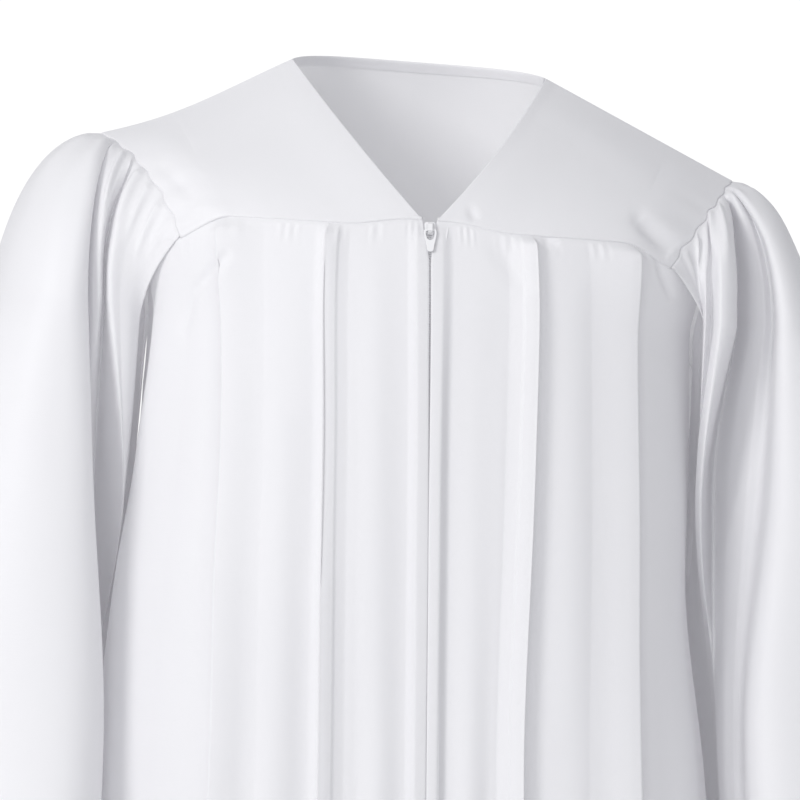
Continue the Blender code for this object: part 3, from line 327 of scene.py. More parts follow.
BACK_CREASES = table(
    CREASE_COLUMNS,
    (-0.1500, -0.1600, -0.1150, -0.2300, 0.0060, -0.0018),
    (0.1500, -0.1700, 0.1120, -0.2500, 0.0060, -0.0018),
    (-0.0700, -0.2000, -0.0600, -0.5000, 0.0100, 0.0012),
    (0.0500, -0.2000, 0.0620, -0.4600, 0.0100, 0.0012),
)
CREASE_FACING = (-0.1, 0.35)
CREASE_START = 0.12
CREASE_TAPER = 0.5

# How fine each piece is
PANEL_STEP_DEGREES = 0.30
PANEL_ROWS = 190
PANEL_GROWTH = 2.5
BACK_STEP_DEGREES = 0.45
YOKE_ROWS = 70
BACK_YOKE_ROWS = 50
SLEEVE_SPLITS = 12
SLEEVE_ROW_COUNT = 190
SLEEVE_GROWTH = 2.2

# Seams, hems and turned edges
TUCK = 0.0006
SEAM_UNDER = 0.0022
EDGE_THICK = 0.0011
HEM_WIDTH = 0.020
CUFF_WIDTH = 0.016
FACING_WIDTH = 0.007
EDGE_DROP = 0.0012

# A turned edge: how far out and down in thicknesses of cloth, and back in widths of the turned part
TURNED_EDGE = table(
    "out back down",
    (0.35, 0.0, 0.25),
    (0.40, 0.0, 0.60),
    (0.10, 0.0, 1.00),
    (-0.80, 0.0, 1.10),
    (0.00, 0.5, 1.05),
    (0.00, 1.0, 1.00),
)

# Small gathers under the yoke seams
PUCKER_RISE = 0.00032
PUCKER_DEGREES = 2.7
PUCKER_LENGTH = 0.016
PUCKER_START = 0.004
PUCKER_FULL = 0.006
PUCKER_WANDER = 1.9
PUCKER_WANDER_DEGREES = 17.3
PUCKER_STRENGTH = (0.35, 0.75)
PUCKER_STRENGTH_DEGREES = 11.3
PUCKER_SHIFTS = (2.0, 1.3)

# Thread
STITCH = 0.0026
STITCH_GAP = 0.0012
STITCH_RADIUS = 0.00022
STITCH_LIFT = 0.4


def column(rows, name):
    return np.array([row[name] for row in rows], float)


def smooth(knots, values, at):
    """A smooth curve through values at knots that never swings past them, read at one place or many.

    Values may have more axes than the knots: then each place of at reads its own curve.
    """
    order = np.argsort(knots)
    knots = np.asarray(knots, float)[order]
    values = np.asarray(values, float)[order]
    at = np.clip(at, knots[0], knots[-1])
    if values.ndim > 1:
        at = np.broadcast_to(at, values.shape[1:])
    step = np.diff(knots).reshape((-1,) + (1,) * (values.ndim - 1))
    rise = np.diff(values, axis=0) / step
    both = rise[1:] * rise[:-1]
    whole = rise[1:] + rise[:-1]
    turning = np.where(both > 0, 2 * both / np.where(both > 0, whole, 1), 0)
    slope = np.concatenate([rise[:1], turning, rise[-1:]])
    i = np.clip(np.searchsorted(knots, at, side="right") - 1, 0, len(knots) - 2)
    wide = np.diff(knots)[i]
    t = (at - knots[i]) / wide

    def pick(source, place):
        if source.ndim == 1:
            return source[place]
        return np.take_along_axis(source, place[None], 0)[0]

    return (
        pick(values, i) * (1 + 2 * t) * (1 - t) ** 2
        + pick(values, i + 1) * t * t * (3 - 2 * t)
        + wide * (pick(slope, i) * t * (1 - t) ** 2 - pick(slope, i + 1) * t * t * (1 - t))
    )


def ease(low, high, at):
    """0 up to low, 1 from high, and smooth between them."""
    t = np.clip((np.asarray(at, float) - low) / (high - low), 0, 1)
    return t * t * (3 - 2 * t)


def ring_point(side, degrees, z):
    """A point of the body's section at height z, from the centre front (0) to the centre back (180)."""
    turn = np.radians(degrees)
    heights = column(BODY, "z")
    half = smooth(heights, column(BODY, "right" if side < 0 else "left"), z)
    front = smooth(heights, column(BODY, "front"), z)
    back = smooth(heights, column(BODY, "back"), z)
    square = smooth(heights, column(BODY, "square"), z)
    deep = np.where(np.cos(turn) > 0, front, back)
    across, along = np.abs(np.sin(turn)) / half, np.abs(np.cos(turn)) / deep
    radius = (across**square + along**square) ** (-1 / square)
    return np.stack([side * radius * np.sin(turn), -radius * np.cos(turn), z + 0 * turn], -1)


def unit(vectors):
    return vectors / np.maximum(np.linalg.norm(vectors, axis=-1, keepdims=True), 1e-12)


def ring_normal(side, degrees, z):
    """The outward direction of the body's plain section surface."""
    along = ring_point(side, degrees + TURN_STEP, z) - ring_point(side, degrees - TURN_STEP, z)
    up = ring_point(side, degrees, z + DROP_STEP) - ring_point(side, degrees, z - DROP_STEP)
    return unit(np.cross(along, up) * side)


def front_seam_z(degrees):
    """Height of the front yoke seam: it sags a little and drops at the armhole corner."""
    sag = SEAM_SAG * ease(*SAG_DEGREES, degrees)
    drop = SEAM_CENTRE_Z - SEAM_SAG - FRONT_CORNER_Z
    share = ease(*CORNER_DROP_DEGREES, degrees) / ease(*CORNER_DROP_DEGREES, FRONT_CORNER_DEGREES)
    return SEAM_CENTRE_Z - sag - drop * share


def armhole_z(degrees, corner_degrees, corner_z):
    """Height of the armhole's lower half, from the yoke corner down and round to the underarm."""
    t = np.clip((degrees - corner_degrees) / (90 - corner_degrees), 0, 1)
    return corner_z + (UNDERARM_Z - corner_z) * t**ARMHOLE_CURVE


def front_top(degrees):
    over = degrees > FRONT_CORNER_DEGREES
    low = armhole_z(degrees, FRONT_CORNER_DEGREES, FRONT_CORNER_Z)
    return np.where(over, low, front_seam_z(degrees))


def back_top(degrees):
    over = degrees > BACK_CORNER_DEGREES
    return np.where(over, armhole_z(degrees, BACK_CORNER_DEGREES, BACK_SEAM_Z), BACK_SEAM_Z)


def at_levels(fold, names, z):
    return smooth(FOLD_LEVELS, [fold[name] for name in names.split()], z)


def crest_degrees(fold, z):
    return at_levels(fold, "seam chest waist hem", z)


def crest_rise(fold, z):
    return at_levels(fold, "rise_seam rise_chest rise_waist rise_hem", z)


def edge_degrees(z):
    """The front edge stands back at the top, where the zip opens, and closes on the middle below."""
    opened = math.degrees(math.atan2(V_HALF, BODY[1]["front"]))
    parted = math.degrees(math.atan2(LIPS_PART, BODY[3]["front"]))
    closed = math.degrees(math.atan2(LIPS_CLOSED, BODY[3]["front"]))
    edge = parted + (opened - parted) * ease(SEAM_CENTRE_Z - NOTCH_DEPTH, SEAM_CENTRE_Z, z)
    return edge + (closed - parted) * ease(-LIPS_CLOSED_Z, -LIPS_PART_Z, -z)


def panel_columns(last, corner, first, step):
    """Evenly spaced seam angles, with the armhole corner among them."""
    count = round((last - first) / step) + 1
    found = np.linspace(first, last, count)
    nearest = np.argmin(np.abs(found - corner))
    found[nearest] = corner
    return found


def growing(count, growth):
    """Shares from 0 to 1, close together at first."""
    t = np.linspace(0, 1, count)
    return (np.exp(growth * t) - 1) / (math.exp(growth) - 1)


def flute(fold, away, z):
    """How much of its rise a flute has at an angle from its crest: rounded, or sharp on its outer side."""
    flank = np.where(away < 0, fold["inner"], fold["outer"])
    t = np.clip(np.abs(away) / flank, 0, 1)
    rounded = np.cos(t * math.pi / 2) ** 2
    sharp = (1 - t) ** np.where(away < 0, CRISP_INNER, CRISP_OUTER)
    crisp = fold["crisp"] * (1 - (1 - CRISP_HEM) * ease(*CRISP_FADE, -z))
    return rounded * (1 - crisp) + sharp * crisp


def half_panel(side, is_front, columns, rows):
    """A grid of outer points and their plain outward directions, from the centre to the side seam."""
    folds = (FRONT_FOLDS if is_front else BACK_FOLDS)[side]
    top = (front_top if is_front else back_top)(columns)
    z = top + (HEM_Z - top) * np.array(rows)[:, None]
    inner_folds = [fold for fold in folds if fold["seam"] > 0]
    seams = [0.0] + [fold["seam"] for fold in inner_folds] + [90.0]
    places = np.stack([0 * z] + [crest_degrees(f, z) for f in inner_folds] + [90 + 0 * z])
    turn = smooth(seams, places, columns)
    if is_front:
        first = folds[0]["seam"]
        share = (columns - columns[0]) / (first - columns[0])
        edge = edge_degrees(z)
        near = edge + (np.maximum(places[1], edge + LEAST_EDGE_STEP) - edge) * share
        turn = np.where(columns < first, near, turn)
    drop = top - z
    lift = np.zeros_like(z)
    lean = np.zeros_like(z)
    for fold in folds:
        away = np.broadcast_to(columns - fold["seam"], z.shape)
        start = SOFT_START + (CRISP_START - SOFT_START) * min(fold["crisp"], 1)
        bump = flute(fold, away, z) * ease(0, start, drop)
        lift += crest_rise(fold, z) * bump
        if fold["band"]:
            half = BAND_EDGE_DEGREES / 2
            inside = ease(-fold["band"] - half, -fold["band"] + half, away) * (away <= 0)
            lift += BAND_RISE * inside * ease(0, start, drop) * (1 - ease(*BAND_FADE, -z))
        if fold["crisp"] > LEAN_FROM_CRISP:
            near_crest = np.clip(1 - np.abs(away - LEAN_AT_DEGREES) / LEAN_DEGREES, 0, 1) ** 2
            lean += LEAN * fold["crisp"] * near_crest * ease(0, start, drop)
    lift += puckers(columns, drop, side)
    degrees = turn if is_front else 180 - turn
    base = ring_point(side, degrees, z)
    normal = ring_normal(side, degrees, z)
    sideways = unit(np.cross(normal, UP)) * -side if is_front else unit(np.cross(normal, UP)) * side
    return base + normal * lift[..., None] + sideways * lean[..., None], normal


def puckers(columns, drop, side):
    """Small uneven gathers just under the yoke seam."""
    turns = 2 * math.pi * columns
    wander_shift, strength_shift = (shift * side for shift in PUCKER_SHIFTS)
    wander = PUCKER_WANDER * np.sin(turns / PUCKER_WANDER_DEGREES + wander_shift)
    wave = np.sin(turns / PUCKER_DEGREES + wander)
    middle, swing = PUCKER_STRENGTH
    uneven = np.clip(middle + swing * np.sin(turns / PUCKER_STRENGTH_DEGREES + strength_shift), 0, 1)
    fade = ease(0, PUCKER_START, drop) * (1 - ease(PUCKER_FULL, PUCKER_LENGTH, drop))
    return PUCKER_RISE * wave * uneven * fade


def worn(points):
    """The pose: the shoulders tilt, and the tilt dies away down the body."""
    moved = np.array(points, float)
    share = ease(TILT_END_Z, TILT_FULL_Z, moved[..., 2])
    moved[..., 2] -= SHOULDER_TILT * moved[..., 0] * share
    return moved


def bend(start, middle, end, share):
    """A curve from start to end that passes through middle half way."""
    start, middle, end = (np.array(p, float) for p in (start, middle, end))
    pull = 2 * middle - (start + end) / 2
    t = np.asarray(share, float)[..., None]
    return start * (1 - t) ** 2 + 2 * pull * t * (1 - t) + end * t * t


def patch(top, bottom, left, right):
    """A smooth four-sided surface between its edges. Rows run from top to bottom."""
    widths = np.linalg.norm(np.diff(bottom, axis=0), axis=1)
    across = np.concatenate([[0], np.cumsum(widths)]) / widths.sum()
    down = np.linspace(0, 1, len(left))[:, None, None]
    p = across[None, :, None]
    corners = (
        (1 - down) * ((1 - p) * top[0] + p * top[-1]) + down * ((1 - p) * bottom[0] + p * bottom[-1])
    )
    return (1 - down) * top + down * bottom + (1 - p) * left[:, None] + p * right[:, None] - corners


def mirrored(point, side):
    return np.array([point[0] * side, point[1], point[2]])


def shoulder(side, share):
    """The shoulder seam, from the neck to the tip."""
    start, end = np.array([NECK_HALF * side, 0, 0]), mirrored(TIP, side)
    line = start + (end - start) * np.asarray(share, float)[..., None]
    line[..., 2] -= SHOULDER_HOLLOW[side] * np.sin(np.pi * np.clip(share, 0, 1) ** HOLLOW_SHIFT)
    return line


def front_yoke(side, columns, rows):
    """Grid from neck edge to armhole and from shoulder seam to yoke seam, with its outward directions."""
    seam = columns[columns <= FRONT_CORNER_DEGREES]
    z = front_seam_z(seam)
    bottom = ring_point(side, seam, z)
    widths = np.linalg.norm(np.diff(bottom, axis=0), axis=1)
    share = np.concatenate([[0], np.cumsum(widths)]) / widths.sum()
    top = shoulder(side, share)
    down = np.linspace(0, 1, rows)
    neck = bend(top[0], mirrored(V_MIDDLE, side), bottom[0], down)
    arm = bend(top[-1], mirrored(FRONT_ARMHOLE_MIDDLE[side], side), bottom[-1], down)
    towards_neck = unit(neck - arm)
    for dip in SCALLOPS[side]:
        t = np.clip(np.abs(down - dip["at"]) / dip["wide"], 0, 1)
        arm = arm + towards_neck * (dip["deep"] * np.cos(t * math.pi / 2) ** 2)[:, None]
    grid = patch(top, bottom, neck, arm)
    return grid, grid_normals(grid, outward=UP + FORWARD)


def back_yoke(columns, rows):
    """Grid across the back from the right armhole to the left one, with its outward directions."""
    halves = {}
    for side in (-1, 1):
        seam = columns[columns <= BACK_CORNER_DEGREES]
        z = np.full(len(seam), BACK_SEAM_Z)
        bottom = ring_point(side, 180 - seam, z)
        share = np.abs(bottom[:, 0]) / abs(bottom[-1, 0])
        neck_share = NECK_HALF / TIP[0]
        nearest = np.argmin(np.abs(share - neck_share))
        split = share[nearest]
        out = np.clip(share / split, 0, 1)
        middle = mirrored(BACK_NECK_MIDDLE, side)
        neck_line = bend((0, *BACK_NECK), middle, (NECK_HALF * side, 0, 0), out)
        neck_line[:, 2] = BACK_NECK[1] * (1 - out**BACK_NECK_FALL)
        top = np.where(
            (share <= split)[:, None], neck_line, shoulder(side, (share - split) / (1 - split))
        )
        halves[side] = (top, bottom)
    top = np.concatenate([halves[-1][0][::-1], halves[1][0][1:]])
    bottom = np.concatenate([halves[-1][1][::-1], halves[1][1][1:]])
    down = np.linspace(0, 1, rows)
    right = bend(top[0], mirrored(BACK_ARMHOLE_MIDDLE, -1), bottom[0], down)
    left = bend(top[-1], mirrored(BACK_ARMHOLE_MIDDLE, 1), bottom[-1], down)
    grid = patch(top, bottom, right, left)
    return grid, grid_normals(grid, outward=UP - FORWARD)


def looped(points):
    """A loop's points, with the first one again at the end."""
    return np.concatenate([points, points[:1]])


def read_line(at, run, points):
    """A line's points read at places along it, where run is how far along each point lies."""
    return np.stack([np.interp(at, run, points[:, k]) for k in range(3)], -1)


def grid_normals(grid, outward, around=False):
    """Directions square to a grid of points, on the side that outward points to."""
    down = np.gradient(grid, axis=0)
    if around:
        across = np.roll(grid, -1, axis=1) - np.roll(grid, 1, axis=1)
    else:
        across = np.gradient(grid, axis=1)
    normal = unit(np.cross(down, across))
    if np.sum(normal * outward) < 0:
        normal = -normal
    return normal


def tube_normals(grid):
    """Outward directions of a grid that closes round a tube."""
    return grid_normals(grid, outward=grid - grid.mean(axis=1, keepdims=True), around=True)


def armhole(side, yoke_front, panel_front, panel_back, yoke_back):
    """The armhole as a closed loop of points and outward directions: tip, front, underarm, back."""
    last = -1 if side > 0 else 0
    pieces = (
        (yoke_front[0][:, -1], yoke_front[1][:, -1]),
        (panel_front[0][1:], panel_front[1][1:]),
        (panel_back[0][::-1][1:], panel_back[1][::-1][1:]),
        (yoke_back[0][::-1, last][1:-1], yoke_back[1][::-1, last][1:-1]),
    )
    points = np.concatenate([p[0] for p in pieces])
    normals = np.concatenate([p[1] for p in pieces])
    underarm = len(pieces[0][0]) + len(pieces[1][0]) - 1
    return points, normals, underarm


def loop_degrees(points, underarm):
    """Angles of the armhole's points round the sleeve: 0 at the tip and 180 at the underarm."""
    steps = np.linalg.norm(np.roll(points, -1, axis=0) - points, axis=1)
    run = np.concatenate([[0], np.cumsum(steps)])
    front = run[: underarm + 1] / run[underarm] * 180
    back = 180 + (run[underarm + 1 : -1] - run[underarm]) / (run[-1] - run[underarm]) * 180
    return np.concatenate([front, back])


def between_lines(values, at):
    """Values given at whole numbers round a closed loop, read smoothly at any places between them."""
    count = len(values)
    i = np.floor(at).astype(int)
    t = (at - i).reshape((-1,) + (1,) * (values.ndim - 1))
    before, here, after, later = (values[(i + k) % count] for k in (-1, 0, 1, 2))
    slope, next_slope = (after - before) / 2, (later - here) / 2
    return (
        here * (1 + 2 * t) * (1 - t) ** 2 + after * t * t * (3 - 2 * t)
        + slope * t * (1 - t) ** 2 - next_slope * t * t * (1 - t)
    )


def sleeve(side, loop, normals, underarm, rows):
    """Grid of the sleeve's outer points, from just under the armhole's seam to the cuff."""
    lines = SLEEVES[side]
    at = np.arange(len(lines) * SLEEVE_SPLITS) / SLEEVE_SPLITS
    heads = np.append(column(lines, "head"), 360.0)
    degrees = np.interp(at, np.arange(len(heads)), heads)
    around = np.append(loop_degrees(loop, underarm), 360.0)
    head = read_line(degrees, around, looped(loop))
    facing = unit(read_line(degrees, around, looped(normals)))
    from_tip = np.minimum(degrees, 360 - degrees)
    low = ease(*LOW_DEGREES, from_tip)
    head[:, 0] += SEAM_GAP * side
    head += facing * (SEAM_GAP + UNDERARM_EASE) * low[:, None]
    head[:, 2] += SEAM_GAP * low
    drop = between_lines(column(lines, "drop"), at)
    hang = between_lines(
        np.array([[[row[f"x{k}"] * side, row[f"y{k}"]] for k in (1, 2, 3, 4)] for row in lines]), at
    )
    share = np.array(rows)[:, None]
    slanted = head[:, 2] + (LEVEL_Z - head[:, 2]) * share / LEVEL_SHARE
    level = LEVEL_Z + (CUFF_Z - LEVEL_Z) * (share - LEVEL_SHARE) / (1 - LEVEL_SHARE)
    z = np.where(share < LEVEL_SHARE, slanted, level)
    sideways = np.clip(from_tip / SIDE_DEGREES, 0, 1)
    reach = drop * np.interp(sideways, (0, 1), SWING_REACH)
    t = np.clip((head[:, 2] - z) / reach, 0, 1)
    swing = (1 - (1 - t) ** 2) ** np.interp(sideways, (0, 1), SWING_POWER)
    swing += (ease(0, 1, t) - swing) * ease(*UNDERARM_DEGREES, from_tip)
    grid = np.empty(z.shape + (3,))
    grid[..., 2] = z
    for k in (0, 1):
        places = np.broadcast_to(hang[:, :, k].T[:, None, :], (len(SLEEVE_LEVELS),) + z.shape)
        below = smooth(SLEEVE_LEVELS, places, z)
        grid[..., k] = head[:, k] + (below - head[:, k]) * swing
    normal = tube_normals(grid)
    gathers = np.zeros_like(z)
    run = head[:, 2] - z
    for row in GATHERS[side]:
        away = (degrees - row["at"] + 180) % 360 - 180
        full = row["length"] * GATHER_FULL
        fade = ease(0, GATHER_START, run) * (1 - ease(full, row["length"], run))
        gathers += row["rise"] * np.exp(-((away / row["wide"]) ** 2)) * fade
    grid = grid + normal * gathers[..., None]
    grid[0] -= facing * TUCK * (1 - low[:, None])
    under = unit(grid[0] - grid[HEAD_ROWS])
    above = grid[0] + (under * SEAM_UNDER - facing * TUCK) * (1 - low[:, None])
    return np.concatenate([above[None], grid])


def creased(grid, outward, rows, facing):
    """The grid with soft troughs and ridges pressed into the side that faces front (-1) or back (1)."""
    lift = np.zeros(grid.shape[:2])
    seen = ease(*CREASE_FACING, outward[..., 1] * facing)
    for row in rows:
        start, end = np.array([row["x1"], row["z1"]]), np.array([row["x2"], row["z2"]])
        span = end - start
        flat = grid[..., [0, 2]] - start
        t = np.clip((flat @ span) / (span @ span), 0, 1)
        gap = np.linalg.norm(flat - t[..., None] * span, axis=-1)
        along = np.clip(CREASE_START + (1 - CREASE_START) * t, 0, 1)
        taper = np.sin(math.pi * along) ** CREASE_TAPER
        lift += row["rise"] * np.exp(-((gap / row["wide"]) ** 2)) * taper
    return grid + outward * (lift * seen)[..., None]


def rolled(grid, normal, edge, width):
    """The grid with one edge turned to the inside: down the cloth's thickness and back by a width."""
    if edge == "first":
        grid, normal = np.swapaxes(grid, 0, 1), np.swapaxes(normal, 0, 1)
    if edge != "bottom":
        grid, normal = grid[::-1], normal[::-1]
    end, facing = grid[-1], normal[-1]
    out = unit(grid[-1] - grid[-3])
    turned = [
        end + out * (EDGE_THICK * row["out"] - width * row["back"]) - facing * EDGE_THICK * row["down"]
        for row in TURNED_EDGE
    ]
    grid = np.concatenate([grid, np.stack(turned)])
    if edge != "bottom":
        grid = grid[::-1]
    return np.swapaxes(grid, 0, 1) if edge == "first" else grid


def row_above(grid, width):
    """The number of the grid's row that lies a width above its last one."""
    return int(len(grid) - 1 - width / (grid[-2, 0, 2] - grid[-1, 0, 2]))


def tucked(grid, normal, edge, depth):
    """The grid with one edge's last points drawn in under its neighbour."""
    if edge == "top":
        first = grid[0] - normal[0] * depth
        extra = first + unit(grid[0] - grid[1]) * SEAM_UNDER - normal[0] * depth
        return np.concatenate([extra[None], first[None], grid[1:]])
    extra = grid[-1] - normal[-1] * depth
    return np.concatenate([grid, extra[None]])


def placed(name, data):
    """A new object in the scene."""
    thing = bpy.data.objects.new(name, data)
    bpy.context.scene.collection.objects.link(thing)
    return thing


def smooth_piece(name, points, faces, material):
    """An object with a smooth mesh."""
    mesh = bpy.data.meshes.new(name)
    mesh.from_pydata(points, [], faces)
    mesh.update()
    mesh.shade_smooth()
    mesh.materials.append(material)
    return placed(name, mesh)


def cloth_piece(name, grid, material, around=False):
    """A thin sheet of cloth over a grid of points. Around joins its last column to its first."""
    rows, columns = grid.shape[:2]
    spans = columns if around else columns - 1
    i, j = np.meshgrid(np.arange(rows - 1), np.arange(spans), indexing="ij")
    k = (j + 1) % columns
    here, below = i * columns, (i + 1) * columns
    faces = np.stack([here + j, below + j, below + k, here + k], -1)
    return smooth_piece(name, grid.reshape(-1, 3), faces.reshape(-1, 4).tolist(), material)


def on_robe(piece):
    """Sets a piece on the robe's body."""
    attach(piece, "robe")


def robe_piece(node, grid, material, around=False):
    """A piece of the robe over its grid, shown in place of its solid and set on the robe's body."""
    piece = cloth_piece(f"{node}_cloth", grid, material, around)
    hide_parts(node)
    on_robe(piece)


# Materials
CLOTH_COLOUR = (0.90, 0.90, 0.92, 1.0)
CLOTH_SHADE = (0.875, 0.875, 0.90, 1.0)
TAPE_COLOUR = (0.76, 0.76, 0.80, 1.0)
ENAMEL_COLOUR = (0.78, 0.78, 0.80, 1.0)
FLOOR_COLOUR = (0.86, 0.86, 0.87, 1.0)
CLOTH_ROUGHNESS = 0.58
CLOTH_SHEEN = 0.12
CLOTH_SHEEN_ROUGHNESS = 0.4
CLOTH_SPECULAR = 0.35
PATCH_SCALE = 9.0
PATCH_DETAIL = 3.0
THROUGH_COLOUR = (0.92, 0.91, 0.92, 1.0)
THROUGH_SHARE = 0.30
WEAVE_SCALE = 1500.0
WEAVE_DETAIL = 1.0
WEAVE_HEIGHT = 0.00004
SLUB_SCALE = (160.0, 160.0, 900.0)
SLUB_DETAIL = 2.0
SLUB_HEIGHT = 0.00006
CLOTH_RELIEF = 0.5
GRAIN_DETAIL = 2.0
GRAIN_RELIEF = 0.6
PLAIN_COLUMNS = "name colour roughness scale height"
TAPE, ENAMEL, THREAD, FLOOR = table(
    PLAIN_COLUMNS,
    ("white_tape_weave", TAPE_COLOUR, 0.75, 1800.0, 0.00008),
    ("white_enamel_paint", ENAMEL_COLOUR, 0.28, 400.0, 0.00002),
    ("white_thread", CLOTH_COLOUR, 0.6, 3000.0, 0.00005),
    ("pale_floor", FLOOR_COLOUR, 0.8, 30.0, 0.0005),
)


class Nodes:
    """Short names for adding and linking a material's nodes."""

    def __init__(self, name):
        self.material = bpy.data.materials.new(name)
        self.material.use_nodes = True
        self.tree = self.material.node_tree
        self.shader = self.tree.nodes["Principled BSDF"]

    def add(self, kind, **values):
        node = self.tree.nodes.new(kind)
        for key, value in values.items():
            if hasattr(node, key):
                setattr(node, key, value)
            else:
                node.inputs[key.replace("_", " ")].default_value = value
        return node

    def link(self, source, output, target, socket):
        self.tree.links.new(source.outputs[output], target.inputs[socket])

    def relief(self, place, output, scale, detail, height, strength):
        """A bump made of noise."""
        noise = self.add("ShaderNodeTexNoise", Scale=scale, Detail=detail)
        self.link(place, output, noise, "Vector")
        bump = self.add("ShaderNodeBump", Distance=height, Strength=strength)
        self.link(noise, "Fac", bump, "Height")
        return bump


def cloth_material():
    nodes = Nodes("white_polyester")
    shader = nodes.shader
    shader.inputs["Roughness"].default_value = CLOTH_ROUGHNESS
    shader.inputs["Sheen Weight"].default_value = CLOTH_SHEEN
    shader.inputs["Sheen Roughness"].default_value = CLOTH_SHEEN_ROUGHNESS
    shader.inputs["Specular IOR Level"].default_value = CLOTH_SPECULAR
    place = nodes.add("ShaderNodeTexCoord")
    patches = nodes.add("ShaderNodeTexNoise", Scale=PATCH_SCALE, Detail=PATCH_DETAIL)
    nodes.link(place, "Object", patches, "Vector")
    tone = nodes.add("ShaderNodeMix", data_type="RGBA")
    tone.inputs["A"].default_value = CLOTH_COLOUR
    tone.inputs["B"].default_value = CLOTH_SHADE
    nodes.link(patches, "Fac", tone, "Factor")
    nodes.tree.links.new(tone.outputs["Result"], shader.inputs["Base Color"])
    stretch = nodes.add("ShaderNodeMapping")
    stretch.inputs["Scale"].default_value = SLUB_SCALE
    nodes.link(place, "Object", stretch, "Vector")
    fine = nodes.relief(place, "Object", WEAVE_SCALE, WEAVE_DETAIL, WEAVE_HEIGHT, CLOTH_RELIEF)
    wide = nodes.relief(stretch, "Vector", 1.0, SLUB_DETAIL, SLUB_HEIGHT, CLOTH_RELIEF)
    nodes.link(fine, "Normal", wide, "Normal")
    nodes.link(wide, "Normal", shader, "Normal")
    through = nodes.add("ShaderNodeBsdfTranslucent")
    through.inputs["Color"].default_value = THROUGH_COLOUR
    nodes.link(wide, "Normal", through, "Normal")
    both = nodes.add("ShaderNodeMixShader")
    both.inputs["Fac"].default_value = THROUGH_SHARE
    nodes.link(shader, "BSDF", both, 1)
    nodes.link(through, "BSDF", both, 2)
    nodes.link(both, "Shader", nodes.tree.nodes["Material Output"], "Surface")
    return nodes.material


def plain_material(finish):
    """A plain finish with a fine surface grain."""
    nodes = Nodes(finish["name"])
    shader = nodes.shader
    shader.inputs["Base Color"].default_value = finish["colour"]
    shader.inputs["Roughness"].default_value = finish["roughness"]
    place = nodes.add("ShaderNodeTexCoord")
    bump = nodes.relief(
        place, "Object", finish["scale"], GRAIN_DETAIL, finish["height"], GRAIN_RELIEF
    )
    nodes.link(bump, "Normal", shader, "Normal")
    return nodes.material


# Zip teeth and stitches
TOOTH_PITCH = 0.0015
TOOTH_HALF = 0.0012
TOOTH_RADIUS = 0.00055
TOOTH_SHIFT = 0.0003
SAME_LEVEL = 0.00002

# A small bar: rings from end to end, by share of its half length and of its radius
BAR_SIDES = 6
BAR_RINGS = ((-1, 0.45), (-0.8, 1), (0.8, 1), (1, 0.45))
STEEP = 0.9


def bars(name, centres, along, half, radius, material):
    """Many small rounded bars as one mesh, each lying along its own direction."""
    points, faces = [], []
    turn = np.arange(BAR_SIDES) * 2 * math.pi / BAR_SIDES
    bands = len(BAR_RINGS) - 1
    for centre, line in zip(centres, along):
        line = line / np.linalg.norm(line)
        first = np.cross(line, UP if abs(line[2]) < STEEP else FORWARD)
        first = first / np.linalg.norm(first)
        second = np.cross(line, first)
        ring = np.cos(turn)[:, None] * first + np.sin(turn)[:, None] * second
        start = len(points)
        for place, size in BAR_RINGS:
            points.extend(centre + line * half * place + ring * radius * size)
        for step in range(bands):
            low, high = start + step * BAR_SIDES, start + (step + 1) * BAR_SIDES
            for a in range(BAR_SIDES):
                b = (a + 1) % BAR_SIDES
                faces.append((low + a, low + b, high + b, high + a))
        faces.append(tuple(start + a for a in range(BAR_SIDES))[::-1])
        faces.append(tuple(start + bands * BAR_SIDES + a for a in range(BAR_SIDES)))
    return smooth_piece(name, [tuple(p) for p in points], faces, material)


def chain_line(node):
    """The zip chain's middle line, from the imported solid: heights and depths."""
    points = np.array([v.co for v in node.data.vertices])
    heights = np.unique(np.round(points[:, 2], 5))
    depths = [points[np.abs(points[:, 2] - z) < SAME_LEVEL][:, 1].mean() for z in heights]
    return heights, np.array(depths)


def zip_teeth(node, material):
    heights, depths = chain_line(node)
    z = np.arange(heights[-1] - TOOTH_PITCH / 2, heights[0], -TOOTH_PITCH)
    y = np.interp(z, heights, depths)
    shift = TOOTH_SHIFT * np.where(np.arange(len(z)) % 2, 1, -1)
    centres = np.stack([shift, y, z], -1)
    along = np.tile([1.0, 0.0, 0.0], (len(z), 1))
    return bars("zip_teeth", centres, along, TOOTH_HALF, TOOTH_RADIUS, material)


def stitches(name, line, outward, material):
    """A row of thread stitches along a line of points, lying on the cloth."""
    steps = np.linalg.norm(np.diff(line, axis=0), axis=1)
    run = np.concatenate([[0], np.cumsum(steps)])
    at = np.arange(STITCH, run[-1] - STITCH, STITCH + STITCH_GAP)
    place = read_line(at, run, line)
    ahead = read_line(at + STITCH / 2, run, line)
    facing = unit(read_line(at, run, outward))
    centres = place + facing * STITCH_RADIUS * STITCH_LIFT
    on_robe(bars(name, centres, ahead - place, STITCH / 2, STITCH_RADIUS, material))


# The rounded edges of the slider and the pull tab
ROUND_EDGE = 0.00035
ROUND_SEGMENTS = 3
ROUND_DEGREES = 35

